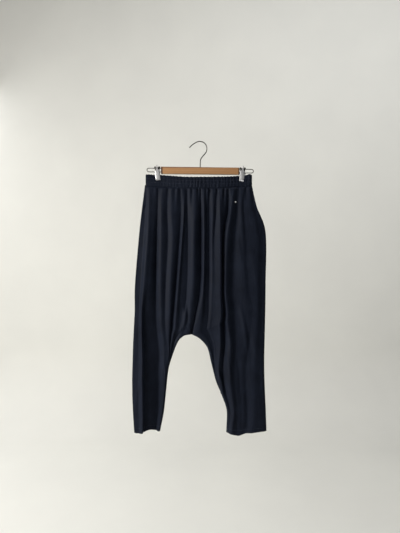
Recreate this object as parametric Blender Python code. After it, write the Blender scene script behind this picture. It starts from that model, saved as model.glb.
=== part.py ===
"""Harem pants, hung by their waistband from a wooden clip hanger.

Metres, +Z up, the front of the garment towards -Y. The origin is the point where the hanger's
hook hangs: the inside top of the hook. Right and left are the wearer's, so right is at -X.

Every cloth piece is a wall: a sheet of points worked out from the tables below, closed by a second
sheet one cloth thickness behind it. The tables are in millimetres.
"""
import math

import bmesh
import bpy
from mathutils import Vector

MM = 0.001
GAP = 0.3 * MM
CLOTH = 1.5 * MM
WAISTBAND_CLOTH = 3.0 * MM

# The hanger tips a little, right-hand end of the bar (the wearer's left) down.
HANGER_TILT = math.radians(0.65)
BAR_LENGTH = 259.0 * MM
BAR_HEIGHT = 23.0 * MM
BAR_DEPTH = 12.0 * MM
BAR_TOP = -84.0 * MM
BAR_ROUNDING = 2.0 * MM
WIRE = 3.2 * MM
LOOP_WIRE = 2.6 * MM
LOOP_REACH = 46.0 * MM
LOOP_SPREAD = 12.0 * MM
LOOP_MIDDLE = -94.5 * MM
LOOP_SOCKET = 14.0 * MM

CLIP_PLACES = {"right": -141.5 * MM, "left": 140.0 * MM}
CLIP_LEANS = {"right": math.radians(6.0), "left": math.radians(-6.0)}
CLIP_WIDTH = 15.0 * MM
CLIP_PLATE = 1.0 * MM
CLIP_BLOCK = (12.0 * MM, 6.4 * MM, 19.0 * MM)
# A jaw seen edge-on: finger tab, shank past the block, jaw on the waistband, lip.
# columns: distance from the middle plane, height from the middle of the wire loop
JAW_OUTLINE = ((9.5, 15.0), (5.2, 7.0), (4.0, 2.0), (4.0, -32.0), (6.0, -35.0))

# columns: x, z
STUD_PLACE = (113.5 * MM, -200.3 * MM)
STUD_WIDTH = 8.4 * MM
STUD_HEIGHT = 6.6 * MM
STUD_RISE = 2.4 * MM
STUD_LIFT = 0.5 * MM

# Seams, from the waist down. Rows of the same number on all of them are level in the cloth.
# columns: x, z
SIDE_SEAMS = {
    "right": (
        (-183.5, -145.5), (-194.2, -231.0), (-203.8, -318.0), (-216.0, -470.0),
        (-217.0, -558.0), (-220.2, -618.0), (-222.6, -672.0), (-224.2, -726.0),
        (-225.6, -779.0), (-225.0, -838.0), (-222.6, -897.0), (-218.8, -957.0),
    ),
    "left": (
        (169.6, -144.5), (185.6, -214.0), (215.0, -300.0), (214.8, -470.0),
        (214.2, -538.0), (212.9, -600.0), (211.5, -660.0), (210.2, -726.0),
        (211.5, -792.0), (213.8, -845.0), (215.8, -894.0), (217.8, -951.5),
    ),
}
# The centre seams run from the waist to the crotch, and the inseams from the crotch to the hems.
CENTRE_SEAM = ((0.5, -153.0), (1.5, -234.0), (1.5, -324.0), (-1.5, -488.0), (-29.7, -634.6))
INSEAMS = {
    "right": (
        (-29.7, -634.6), (-53.5, -639.5), (-72.6, -657.0), (-88.5, -693.5),
        (-105.0, -748.0), (-112.6, -813.0), (-120.5, -888.0), (-133.0, -953.0),
    ),
    "left": (
        (-29.7, -634.6), (-3.3, -649.0), (22.4, -679.0), (36.3, -732.5),
        (50.8, -788.5), (69.3, -833.5), (86.1, -884.5), (84.8, -957.0),
    ),
}
CROTCH_ROW = 4
HIP_ROW = 3
POCKET_ROWS = (0.15, 1.95)
POCKET_GAPE = 3.0

# Depth of the centre seams from the middle plane, at the waist, first, pocket and hip rows.
CENTRE_DEPTHS = (11.0, 11.0, 10.0, 10.0)

# Ridges and valleys that run down a panel, from its side seam to its inner seam. Each has a place
# across the garment and a distance out from the middle plane, at seven of the seams' rows.
FOLD_ROWS = (0, 1, 2, 3, 4, 8, 11)
# columns: x at (waist, first, pocket, hip, crotch, knee, hem), depth at the same rows
FOLDS = {
    "front_right": (
        ((-181, -191.5, -200.5, -213, -214, -220, -216), (5, 7, 8, 9, 10, 8, 6)),
        ((-175, -181, -187, -196, -201, -204, -203), (6, 7, 8.5, 10, 11, 9, 7)),
        ((-164, -168, -171, -184, -191, -189, -188), (9, 15, 20, 22, 22, 21, 19)),
        ((-152, -155, -158, -168, -184, -186, -186), (8, 13, 16, 17, 13, 10, 8)),
        ((-138, -140, -143, -146, -145, -138, -146), (6, 8, 7, 5, 1, -5, -6)),
        ((-123, -126, -127, -129, -127, -121, -141), (10, 15, 18, 18, 15, 7, 2)),
        ((-107, -109, -106, -114, -116, -115, -139), (8, 10, 12, 13, 13, 8, 4)),
        ((-90, -93, -89, -97, -102, -111.5, -137.8), (12, 17, 20, 21, 18, 7, 4)),
        ((-66, -63, -68, -81, -92, -109.5, -136.8), (9, 10, 11, 10, 8, 6, 4)),
        ((-52, -54, -60, -73, -83, -108.5, -136), (11, 16, 20, 20, 17, 6, 4)),
        ((-48, -50, -54, -64, -72, -107.5, -135.2), (10, 13, 15, 15, 12, 5, 3)),
        ((-44, -43, -41, -44, -61, -107, -134.5), (9, 10, 11, 11, 8, 4, 3)),
        ((-18, -18, -21, -24, -43, -106, -133.8), (14, 22, 25, 23, 14, 4, 2)),
    ),
    "front_left": (
        ((165, 181, 206, 205, 204, 200, 203), (5, 7, 8, 8, 8, 9, 9)),
        ((158, 164, 183, 183, 184, 174, 171), (7, 12, 14, 14, 14, 14, 14)),
        ((144, 141, 148, 157, 170, 148, 150), (6, 9, 11, 12, 13, 9, 9.5)),
        ((135, 134, 137, 145, 153, 131, 135), (8, 12, 14, 14, 14, 12.5, 12.5)),
        ((120, 121, 113, 106, 112, 112, 118), (7, 8, 8, 8, 8.5, 14, 13.5)),
        ((109, 100, 87, 81, 86, 97, 101), (13, 18, 20, 20, 20, 20, 17)),
        ((91, 91, 72, 72, 76, 76, 91), (9, 8, 6, 5, 4, 4, 7)),
        ((62, 63, 65, 65, 63, 62, 89.5), (14, 22, 25, 25, 22, 9, 6)),
        ((53, 51, 45, 45, 40, 57, 88.5), (11, 15, 17, 18, 17, 6, 5)),
        ((42, 41, 38, 39, 32, 55, 87.5), (13, 20, 19, 17, 14, 5, 4)),
        ((29, 29, 29, 28, 20, 53.5, 86.8), (9, 10, 10, 9, 8, 4, 3)),
        ((19, 18, 19, 16, 8, 52.6, 86.2), (11, 13, 14, 13, 10, 3, 2)),
        ((12, 12, 12, 9, -5, 51.8, 85.6), (13, 19, 20, 19, 13, 3, 2)),
    ),
    "back_right": (
        ((-176, -187, -194, -204, -207, -212, -210), (6, 8, 10, 11, 11, 10, 9)),
        ((-160, -164, -170, -180, -186, -196, -198), (8, 16, 20, 21, 23, 24, 24)),
        ((-146, -150, -152, -158, -164, -180, -184), (7, 10, 12, 13, 15, 19, 20)),
        ((-128, -128, -126, -134, -140, -160, -164), (11, 20, 24, 24, 25, 25, 24)),
        ((-108, -106, -104, -110, -118, -146, -156), (8, 12, 14, 15, 17, 20, 20)),
        ((-92, -90, -86, -88, -96, -128, -149), (13, 22, 25, 26, 24, 21, 18)),
        ((-70, -66, -64, -62, -74, -118, -142), (9, 11, 12, 13, 14, 15, 14)),
        ((-56, -52, -48, -46, -58, -111, -138), (12, 21, 25, 26, 22, 10, 8)),
        ((-38, -34, -32, -30, -44, -108, -136), (9, 12, 14, 15, 14, 7, 5)),
        ((-18, -16, -16, -16, -36, -106.5, -134), (14, 23, 26, 26, 16, 4, 3)),
    ),
    "back_left": (
        ((163, 180, 204, 205, 205, 203, 207), (6, 8, 10, 11, 11, 10, 9)),
        ((150, 158, 178, 182, 184, 184, 188), (8, 15, 19, 20, 21, 21, 19)),
        ((134, 140, 152, 158, 160, 166, 174), (7, 10, 12, 13, 14, 15, 16)),
        ((118, 122, 130, 134, 138, 146, 156), (11, 20, 24, 24, 24, 23, 20)),
        ((98, 100, 106, 108, 112, 126, 142), (8, 11, 13, 14, 15, 16, 15)),
        ((84, 84, 86, 88, 90, 104, 126), (13, 22, 25, 26, 25, 21, 17)),
        ((66, 64, 64, 64, 64, 86, 112), (9, 12, 13, 14, 14, 13, 12)),
        ((50, 48, 46, 44, 40, 68, 99), (13, 21, 24, 25, 22, 12, 10)),
        ((34, 32, 30, 26, 14, 58, 91), (9, 11, 13, 14, 13, 7, 6)),
        ((16, 14, 13, 10, -8, 54, 87), (14, 22, 25, 25, 16, 4, 3)),
    ),
}

# The waistband from its right end to its left end. It is pinched flat under the clips.
# columns: x, top_z, depth of the outer face at the top, depth at the gathering seam
WAISTBAND = (
    (-181.2, -108.5, 0.0, 0.0),
    (-177.0, -107.8, 5.5, 6.0),
    (-164.0, -108.0, 5.2, 7.0),
    (-152.0, -109.2, 3.7, 6.5),
    (-128.5, -109.6, 3.7, 6.5),
    (-105.0, -112.0, 7.0, 9.5),
    (-51.0, -116.6, 11.0, 13.0),
    (0.0, -117.0, 12.0, 14.0),
    (70.0, -116.0, 10.5, 12.5),
    (105.0, -114.2, 7.0, 9.0),
    (124.5, -112.2, 3.7, 6.5),
    (149.5, -109.6, 3.7, 6.5),
    (159.0, -107.0, 5.2, 6.5),
    (166.0, -107.5, 5.5, 6.0),
    (170.0, -109.5, 0.0, 0.0),
)

# The waistband's lower edge, where the panels are gathered on to it.
# columns: x, z
GATHERING_SEAM = ((-190.0, -144.5), (-51.0, -152.8), (60.0, -152.8), (175.0, -144.8))

PANEL_ROWS = (0, 0.5, 1, 1.5, 2, 2.6, 3.2, 3.6, 3.85, 4, 4.3, 4.65, 5, 5.6, 6.3, 7, 8, 9, 10, 11)
EDGE_TURNS = (0.0, 0.32, 0.66)
FOLD_STEPS = (0.25, 0.75)
# Rows down the waistband, as shares of its width: the clips reach the third one.
WAISTBAND_ROWS = (0.0, 0.32, 0.64, 1.0)

# The hook's wire from its tip over the top and down to the bar.
# columns: x, z
HOOK_ROUTE = (
    (-36.0, -19.0), (-26.4, -9.5), (-12.4, -0.6), (0.0, 1.6), (13.0, -3.2), (20.6, -16.5),
    (19.0, -33.0), (9.0, -46.0), (1.5, -57.0), (0.0, -70.0), (0.0, -83.0),
)


def through(knots, values, at):
    """Read, at one place, the smooth curve that goes through the values at the knots."""
    last = len(knots) - 1
    if at <= knots[0]:
        return values[0]
    if at >= knots[last]:
        return values[last]
    low = max(place for place in range(last) if knots[place] <= at)

    def slope(place):
        before = max(place - 1, 0)
        after = min(place + 1, last)
        return (values[after] - values[before]) / (knots[after] - knots[before])

    width = knots[low + 1] - knots[low]
    part = (at - knots[low]) / width
    keep = (1 + 2 * part) * (1 - part) ** 2
    leave = part * (1 - part) ** 2
    arrive = part ** 2 * (part - 1)
    take = part ** 2 * (3 - 2 * part)
    return (keep * values[low] + take * values[low + 1]
            + width * (leave * slope(low) + arrive * slope(low + 1)))


def bump(value, start, end):
    """0 at both ends of a stretch and 1 in its middle, in a smooth arch."""
    if value <= start or value >= end:
        return 0.0
    return math.sin(math.pi * (value - start) / (end - start))


def seam_point(seam, row):
    """A point of a seam in the middle plane, at a row counted from the seam's own start."""
    rows = range(len(seam))
    xs, zs = zip(*seam)
    return Vector((through(rows, xs, row) * MM, 0, through(rows, zs, row) * MM))


def inner_point(side, row):
    """The inner end of a panel's row: on the centre seam, or below the crotch on the inseam."""
    if row > CROTCH_ROW:
        return seam_point(INSEAMS[side], row - CROTCH_ROW)
    return seam_point(CENTRE_SEAM, row)


def gathering_seam_height(x):
    """Height of the gathering seam at a place along it: level in the middle, up at the ends."""
    for (left, left_z), (right, right_z) in zip(GATHERING_SEAM[:-1], GATHERING_SEAM[1:]):
        if x <= right * MM:
            share = (x / MM - left) / (right - left)
            return (left_z + (right_z - left_z) * share) * MM
    return right_z * MM


def centre_depth(row):
    """Distance of the centre seam from the middle plane: it curves under to 0 at the crotch."""
    if row >= CROTCH_ROW:
        return 0.0
    if row <= HIP_ROW:
        return through(range(len(CENTRE_DEPTHS)), CENTRE_DEPTHS, row)
    fall = (row - HIP_ROW) / (CROTCH_ROW - HIP_ROW)
    return CENTRE_DEPTHS[HIP_ROW] * math.sqrt(1 - fall ** 2)


def panel_lines(panel, row):
    """The panel's cross-section at a row: (place, depth) on its seams, ridges and valleys."""
    face, side = panel.split("_")
    gape = POCKET_GAPE * bump(row, *POCKET_ROWS) if face == "front" else 0.0
    edges = [(seam_point(SIDE_SEAMS[side], fold_row).x / MM, inner_point(side, fold_row).x / MM)
             for fold_row in FOLD_ROWS]
    lines = [(0.0, gape)]
    for xs, depths in FOLDS[panel]:
        places = [(x - start) / (end - start) for x, (start, end) in zip(xs, edges)]
        lines.append((through(FOLD_ROWS, places, row), through(FOLD_ROWS, depths, row)))
    lines.append((1.0, centre_depth(row)))
    return lines


def panel_columns(panel, row):
    """(place, depth) of every column of the panel's grid at a row."""
    lines = panel_lines(panel, row)
    columns = []
    first, second = lines[0], lines[1]
    for turn in EDGE_TURNS:
        across = 1 - math.cos(turn * math.pi / 2)
        rise = math.sin(turn * math.pi / 2)
        columns.append((second[0] * across, first[1] + (second[1] - first[1]) * rise))
    for left, right in zip(lines[1:-2], lines[2:-1]):
        for step in FOLD_STEPS:
            ease = (1 - math.cos(math.pi * step)) / 2
            columns.append((left[0] + (right[0] - left[0]) * step,
                            left[1] + (right[1] - left[1]) * ease))
    # The last stretch is a soft valley on the centre seam and a round turn on the inseam.
    inner, line = lines[-1], lines[-2]
    roundness = min(max((row - HIP_ROW) / (CROTCH_ROW - HIP_ROW), 0.0), 1.0)
    for turn in reversed(EDGE_TURNS):
        across = 1 - math.cos(turn * math.pi / 2)
        soft = math.sin(across * math.pi / 2)
        full = math.sin(turn * math.pi / 2)
        rise = soft + (full - soft) * roundness
        columns.append((1 - (1 - line[0]) * across, inner[1] + (line[1] - inner[1]) * rise))
    return columns


def panel_grid(panel):
    """Points of the panel's outer face, in rows from the waist to the hem."""
    face, side = panel.split("_")
    outward = -1 if face == "front" else 1
    inward = 1 if side == "right" else -1
    grid = []
    for row in PANEL_ROWS:
        start = seam_point(SIDE_SEAMS[side], row)
        end = inner_point(side, row)
        if row <= CROTCH_ROW:
            end.x -= inward * GAP / 2
        points = []
        for place, depth in panel_columns(panel, row):
            point = start.lerp(end, place)
            point.y = outward * (depth * MM + GAP / 2)
            if row == 0:
                point.z = gathering_seam_height(point.x) - GAP
            points.append(point)
        grid.append(points)
    return grid


def face_normal(grid, row, column):
    """Unit normal of a grid at a point, to one side or the other of the sheet."""
    last_row = len(grid) - 1
    last_column = len(grid[0]) - 1
    across = grid[row][min(column + 1, last_column)] - grid[row][max(column - 1, 0)]
    down = grid[min(row + 1, last_row)][column] - grid[max(row - 1, 0)][column]
    return across.cross(down).normalized()


def edge_inward(grid, row, column, seam_normal, inside):
    """Unit vector in the seam's plane, square to the seam, towards the inside of the garment."""
    last_row = len(grid) - 1
    along = grid[min(row + 1, last_row)][column] - grid[max(row - 1, 0)][column]
    direction = seam_normal.cross(along).normalized()
    return direction if direction.dot(inside) > 0 else -direction


def panel_inward(grid, row, column, outward):
    """Direction from the outer face to the inner face of a panel at one of its points."""
    last_row = len(grid) - 1
    last_column = len(grid[0]) - 1
    here = grid[row][column]
    height = PANEL_ROWS[row]
    if column == 0 or (column == last_column and height > CROTCH_ROW):
        middle = grid[row][last_column // 2] - here
        direction = edge_inward(grid, row, column, Vector((0, 1, 0)), middle)
    elif column == last_column and height < CROTCH_ROW:
        direction = edge_inward(grid, row, column, Vector((1, 0, 0)), Vector((0, -outward, 0.2)))
    elif column == last_column:
        direction = Vector((0, 0, 1))
    else:
        direction = face_normal(grid, row, column)
        if direction.y * outward > 0:
            direction = -direction
    if row in (0, last_row):
        direction.z = 0
        direction.normalize()
    return direction


def close_wall(name, outer, inner, material):
    """One closed solid between two sheets of points with the same rows and columns."""
    shape = bmesh.new()
    sheets = [[[shape.verts.new(point) for point in row] for row in sheet] for sheet in (outer, inner)]
    last_row = len(outer) - 1
    last_column = len(outer[0]) - 1
    for sheet in sheets:
        for row in range(last_row):
            for column in range(last_column):
                shape.faces.new((sheet[row][column], sheet[row][column + 1],
                                 sheet[row + 1][column + 1], sheet[row + 1][column]))
    front, back = sheets
    for row in range(last_row):
        for column in (0, last_column):
            shape.faces.new((front[row][column], front[row + 1][column],
                             back[row + 1][column], back[row][column]))
    for column in range(last_column):
        for row in (0, last_row):
            shape.faces.new((front[row][column], front[row][column + 1],
                             back[row][column + 1], back[row][column]))
    bmesh.ops.recalc_face_normals(shape, faces=shape.faces)
    return add_object(name, shape, material)


def add_object(name, shape, material):
    """Turn a bmesh into a named object with one material."""
    mesh = bpy.data.meshes.new(name)
    shape.to_mesh(mesh)
    shape.free()
    mesh.materials.append(material)
    piece = bpy.data.objects.new(name, mesh)
    bpy.context.collection.objects.link(piece)
    return piece


def make_material(name, colour, roughness, metallic=0.0):
    material = bpy.data.materials.new(name)
    material.use_nodes = True
    shader = material.node_tree.nodes["Principled BSDF"]
    shader.inputs["Base Color"].default_value = (*colour, 1.0)
    shader.inputs["Roughness"].default_value = roughness
    shader.inputs["Metallic"].default_value = metallic
    return material


def make_panel(panel, material):
    """A front or back panel: body and leg in one, a wall that follows its folds."""
    outward = -1 if panel.startswith("front") else 1
    outer = panel_grid(panel)
    inner = [[point + panel_inward(outer, row, column, outward) * CLOTH
              for column, point in enumerate(points)] for row, points in enumerate(outer)]
    return close_wall(panel, outer, inner, material)


def make_waistband(face, material):
    """One strip of the waistband, from side seam to side seam, with round ends."""
    outward = -1 if face == "front" else 1
    places, tops, top_depths, seam_depths = zip(*WAISTBAND)
    stations = list(places[1:-1])
    ends = []
    for turn in EDGE_TURNS:
        across = 1 - math.cos(turn * math.pi / 2)
        ends.append((places[0] + (places[1] - places[0]) * across, math.sin(turn * math.pi / 2)))
    columns = list(ends)
    for left, right in zip(stations[:-1], stations[1:]):
        steps = max(1, round((right - left) / 12.0))
        columns += [(left + (right - left) * step / steps, 1.0) for step in range(steps)]
    columns.append((stations[-1], 1.0))
    for turn in reversed(EDGE_TURNS):
        across = 1 - math.cos(turn * math.pi / 2)
        columns.append((places[-1] + (places[-2] - places[-1]) * across, math.sin(turn * math.pi / 2)))
    outer = []
    for down in WAISTBAND_ROWS:
        points = []
        opening = 1.0 if down == WAISTBAND_ROWS[-1] else 0.0
        for x, share in columns:
            inside = min(max(x, stations[0]), stations[-1])
            depth = (through(stations, top_depths[1:-1], inside) * (1 - opening)
                     + through(stations, seam_depths[1:-1], inside) * opening)
            height = through(places, tops, x) * MM * (1 - down) + gathering_seam_height(x * MM) * down
            points.append(Vector((x * MM, outward * (depth * MM * share + GAP / 2), height)))
        outer.append(points)
    last = len(outer[0]) - 1
    inner = []
    for row, points in enumerate(outer):
        behind = []
        for column, point in enumerate(points):
            direction = face_normal(outer, row, column)
            if direction.y * outward > 0:
                direction = -direction
            if column in (0, last):
                direction = Vector((1 if column == 0 else -1, 0, 0))
            if row in (0, len(outer) - 1):
                direction.z = 0
                direction.normalize()
            behind.append(point + direction * WAISTBAND_CLOTH)
        inner.append(behind)
    return close_wall(f"waistband_{face}", outer, inner, material)


def make_pocket_facing(side, material):
    """The narrow strip behind a pocket mouth, inside the side seam where the front gapes."""
    inward = 1 if side == "right" else -1
    edge = [points[0] for points in panel_grid(f"front_{side}")]

    def edge_point(row):
        """A point on the straight stretches of the front panel's side edge."""
        after = next(place for place, height in enumerate(PANEL_ROWS) if height >= row)
        before = after - 1
        share = (row - PANEL_ROWS[before]) / (PANEL_ROWS[after] - PANEL_ROWS[before])
        return edge[before].lerp(edge[after], share)

    first, last = POCKET_ROWS
    heights = [first] + [row for row in PANEL_ROWS if first < row < last] + [last]
    sheets = []
    for layer in (0.0, 1.0):
        sheet = []
        for row in heights:
            front = edge_point(row)
            front.x += inward * (CLOTH + 3 * GAP + layer * MM)
            front.y -= 1.0 * MM
            back = Vector((front.x, 1.4 * MM, front.z))
            sheet.append([front, back])
        sheets.append(sheet)
    return close_wall(f"pocket_facing_{side}", sheets[0], sheets[1], material)


def make_stud(panel_object, material):
    """An oval domed stud that stands on the left front panel, just under the waistband."""
    outer_faces = [face for face in panel_object.data.polygons if face.normal.y < -0.2]

    def distance(face):
        return math.hypot(face.center.x - STUD_PLACE[0], face.center.z - STUD_PLACE[1])

    nearest = min(outer_faces, key=distance)
    bpy.ops.mesh.primitive_uv_sphere_add(segments=20, ring_count=10, radius=0.5)
    stud = bpy.context.object
    stud.name = "stud"
    shape = bmesh.new()
    shape.from_mesh(stud.data)
    bmesh.ops.bisect_plane(shape, geom=shape.verts[:] + shape.edges[:] + shape.faces[:],
                           plane_co=(0, 0, 0), plane_no=(0, 0, -1), clear_outer=True)
    rim = [edge for edge in shape.edges if edge.is_boundary]
    bmesh.ops.contextual_create(shape, geom=rim)
    bmesh.ops.scale(shape, vec=(STUD_WIDTH, STUD_HEIGHT, 2 * STUD_RISE), verts=shape.verts)
    bmesh.ops.recalc_face_normals(shape, faces=shape.faces)
    shape.to_mesh(stud.data)
    shape.free()
    stud.data.shade_smooth()
    stud.data.materials.append(material)
    stud.rotation_mode = "QUATERNION"
    stud.rotation_quaternion = nearest.normal.to_track_quat("Z", "Y")
    stud.location = nearest.center + nearest.normal * STUD_LIFT
    return stud


def make_wire(name, points, width, frame, material):
    """A round wire of one width with closed ends, along a smooth line through the points."""
    curve = bpy.data.curves.new(name, "CURVE")
    curve.dimensions = "3D"
    curve.bevel_depth = width / 2
    curve.bevel_resolution = 2
    curve.use_fill_caps = True
    spline = curve.splines.new("POLY")
    spline.points.add(len(points) - 1)
    for place, point in zip(spline.points, points):
        place.co = (*point, 1.0)
    curve.materials.append(material)
    wire = bpy.data.objects.new(name, curve)
    bpy.context.collection.objects.link(wire)
    wire.parent = frame
    return wire


def make_hook(frame, material):
    """The hanger's hook, bent from one wire, with its foot in the bar."""
    knots = range(len(HOOK_ROUTE))
    xs, zs = zip(*HOOK_ROUTE)
    steps = 36
    points = []
    for step in range(steps + 1):
        at = (len(HOOK_ROUTE) - 1) * step / steps
        points.append(Vector((through(knots, xs, at) * MM, 0, through(knots, zs, at) * MM)))
    points[-1].z = BAR_TOP + GAP
    return make_wire("hanger_hook", points, WIRE, frame, material)


def loop_points(side):
    """Middle line of the wire loop at one end of the bar: out, round and back."""
    outward = -1 if side == "right" else 1
    radius = LOOP_SPREAD / 2
    inside = BAR_LENGTH / 2 - LOOP_SOCKET
    turn_at = BAR_LENGTH / 2 + LOOP_REACH - radius
    points = [Vector((outward * inside, 0, LOOP_MIDDLE + radius))]
    turns = 10
    for turn in range(turns + 1):
        angle = math.pi / 2 - math.pi * turn / turns
        points.append(Vector((outward * (turn_at + radius * math.cos(angle)), 0,
                              LOOP_MIDDLE + radius * math.sin(angle))))
    points.append(Vector((outward * inside, 0, LOOP_MIDDLE - radius)))
    return points


def add_cutter(name, radius, length, place, frame):
    """A round cutter that lies along X."""
    bpy.ops.mesh.primitive_cylinder_add(vertices=16, radius=radius, depth=length,
                                        location=place, rotation=(0, math.pi / 2, 0))
    cutter = bpy.context.object
    cutter.name = name
    cutter.hide_render = True
    cutter.display_type = "WIRE"
    cutter.parent = frame
    return cutter


def bore(piece, cutter):
    cut = piece.modifiers.new(cutter.name, "BOOLEAN")
    cut.operation = "DIFFERENCE"
    cut.object = cutter


def add_block(name, size, place, rounding, frame, material):
    """A box with rounded edges, its scale applied."""
    bpy.ops.mesh.primitive_cube_add(size=1.0, location=place)
    block = bpy.context.object
    block.name = name
    for vertex in block.data.vertices:
        vertex.co = Vector((vertex.co.x * size[0], vertex.co.y * size[1], vertex.co.z * size[2]))
    block.data.materials.append(material)
    bevel = block.modifiers.new("rounding", "BEVEL")
    bevel.width = rounding
    bevel.segments = 3
    block.parent = frame
    return block


def make_bar(frame, material):
    """The wooden bar, with sockets in its ends for the wire loops."""
    middle = BAR_TOP - BAR_HEIGHT / 2
    bar = add_block("hanger_bar", (BAR_LENGTH, BAR_DEPTH, BAR_HEIGHT), (0, 0, middle),
                    BAR_ROUNDING, frame, material)
    for side, outward in (("right", -1), ("left", 1)):
        for level, height in (("upper", 1), ("lower", -1)):
            depth = LOOP_SOCKET + 1.0 * MM
            place = (outward * (BAR_LENGTH / 2 - depth / 2 + 0.5 * MM), 0,
                     LOOP_MIDDLE + height * LOOP_SPREAD / 2)
            bore(bar, add_cutter(f"socket_{side}_{level}", LOOP_WIRE / 2 + GAP, depth + 1.0 * MM,
                                 place, frame))
    return bar


def make_clip(side, frame, steel, dark_steel):
    """One sliding clip: a block threaded on the wire loop and a sprung jaw on either face."""
    place = CLIP_PLACES[side]
    block = add_block(f"clip_{side}_block", CLIP_BLOCK, (place, 0, LOOP_MIDDLE), 0.8 * MM,
                      frame, dark_steel)
    for level, height in (("upper", 1), ("lower", -1)):
        bore(block, add_cutter(f"clip_{side}_bore_{level}", LOOP_WIRE / 2 + GAP, 2 * CLIP_WIDTH,
                               (place, 0, LOOP_MIDDLE + height * LOOP_SPREAD / 2), frame))
    for face, outward in (("front", -1), ("back", 1)):
        shape = bmesh.new()
        sides = []
        for along in (-0.5, 0.5):
            inner = [Vector((along * CLIP_WIDTH, outward * y * MM, z * MM)) for y, z in JAW_OUTLINE]
            outer = [point + Vector((0, outward * CLIP_PLATE, 0)) for point in inner]
            sides.append([shape.verts.new(point) for point in inner + outer[::-1]])
        count = len(sides[0])
        shape.faces.new(sides[0])
        shape.faces.new(sides[1])
        for corner in range(count):
            following = (corner + 1) % count
            shape.faces.new((sides[0][corner], sides[0][following],
                             sides[1][following], sides[1][corner]))
        bmesh.ops.recalc_face_normals(shape, faces=shape.faces)
        jaw = add_object(f"clip_{side}_{face}_jaw", shape, steel)
        jaw.location = (place, 0, LOOP_MIDDLE)
        jaw.rotation_euler = (0, -CLIP_LEANS[side], 0)
        jaw.parent = frame
    return block


def main():
    for thing in list(bpy.data.objects):
        bpy.data.objects.remove(thing, do_unlink=True)

    cloth = make_material("navy crepe", (0.010, 0.013, 0.024), 0.62)
    beech = make_material("oiled beech", (0.39, 0.20, 0.08), 0.5)
    steel = make_material("bright steel", (0.62, 0.62, 0.60), 0.25, 1.0)
    dark_steel = make_material("spring steel", (0.16, 0.15, 0.14), 0.4, 1.0)

    for face in ("front", "back"):
        make_waistband(face, cloth)
    for side in ("right", "left"):
        for face in ("front", "back"):
            panel = make_panel(f"{face}_{side}", cloth)
            if (face, side) == ("front", "left"):
                make_stud(panel, steel)
        make_pocket_facing(side, cloth)

    frame = bpy.data.objects.new("hanger_frame", None)
    bpy.context.collection.objects.link(frame)
    frame.rotation_euler = (0, HANGER_TILT, 0)
    make_hook(frame, steel)
    make_bar(frame, beech)
    for side in ("right", "left"):
        make_wire(f"hanger_loop_{side}", loop_points(side), LOOP_WIRE, frame, steel)
        make_clip(side, frame, steel, dark_steel)


main()
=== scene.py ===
"""Harem pants of navy crepe, hung by their waistband from a wooden clip hanger."""
import math
import random

import bmesh
import bpy
import numpy as np
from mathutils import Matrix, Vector


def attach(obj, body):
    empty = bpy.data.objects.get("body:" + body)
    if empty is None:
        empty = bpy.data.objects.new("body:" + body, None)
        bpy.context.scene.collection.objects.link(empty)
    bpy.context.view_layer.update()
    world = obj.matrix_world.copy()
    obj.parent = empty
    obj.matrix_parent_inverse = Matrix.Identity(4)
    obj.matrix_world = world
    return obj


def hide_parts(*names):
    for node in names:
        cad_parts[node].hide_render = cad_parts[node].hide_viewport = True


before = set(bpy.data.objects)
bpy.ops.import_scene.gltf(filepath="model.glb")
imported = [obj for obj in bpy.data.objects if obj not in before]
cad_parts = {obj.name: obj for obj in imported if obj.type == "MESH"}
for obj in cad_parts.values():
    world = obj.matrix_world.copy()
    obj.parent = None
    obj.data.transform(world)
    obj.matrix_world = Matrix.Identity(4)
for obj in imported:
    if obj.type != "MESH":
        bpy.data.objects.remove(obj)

bpy.ops.object.select_all(action="DESELECT")
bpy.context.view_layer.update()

# ---------------------------------------------------------------------------------------------
# Camera. It stands level, straight in front of the legs' upper half, at the distance from which
# the view is 1.76 m high where the garment hangs, with bare wall all round it.
MM = 0.001
VIEW_ANGLE = math.radians(69.0)
VIEW_HEIGHT = 1758.9 * MM
VIEW_MIDDLE = (-1.65 * MM, -410.9 * MM)

camera_distance = VIEW_HEIGHT / 2 / math.tan(VIEW_ANGLE / 2)
bpy.ops.object.camera_add(location=(VIEW_MIDDLE[0], -camera_distance, VIEW_MIDDLE[1]),
                          rotation=(math.pi / 2, 0, 0))
camera = bpy.context.object
camera.name = "camera"
camera.data.sensor_fit = "VERTICAL"
camera.data.angle = VIEW_ANGLE
bpy.context.scene.camera = camera
bpy.context.scene.view_settings.view_transform = "Standard"


# ---------------------------------------------------------------------------------------------
# Cloth. Midnight-navy viscose crepe, piece-dyed: a light, fluid weave of hard-twisted yarns whose
# pebbled face scatters a soft sheen along the folds and goes almost black in the valleys.
CREPE_PEBBLE = 1.1 * MM
CREPE_SLUB = (2.2 * MM, 26.0 * MM)
SHADE_DRIFT = 55.0 * MM


def linear(hex_colour):
    """The linear red, green, blue and alpha of an sRGB hex colour."""
    shares = [int(hex_colour[place:place + 2], 16) / 255 for place in (1, 3, 5)]
    return (*[share / 12.92 if share <= 0.04045 else ((share + 0.055) / 1.055) ** 2.4
              for share in shares], 1.0)


def add_node(tree, kind, inputs=None, **settings):
    """Add a node with its settings; an input is a plain value or the socket that feeds it."""
    node = tree.nodes.new(kind)
    for name, value in settings.items():
        setattr(node, name, value)
    for socket, value in (inputs or {}).items():
        if isinstance(value, bpy.types.NodeSocket):
            tree.links.new(value, node.inputs[socket])
        else:
            node.inputs[socket].default_value = value
    return node


def empty_material(name):
    """A new material, its node tree, and the place on the object that its patterns read."""
    material = bpy.data.materials.new(name)
    material.use_nodes = True
    tree = material.node_tree
    tree.nodes.clear()
    return material, tree, add_node(tree, "ShaderNodeTexCoord").outputs["Object"]


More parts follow.
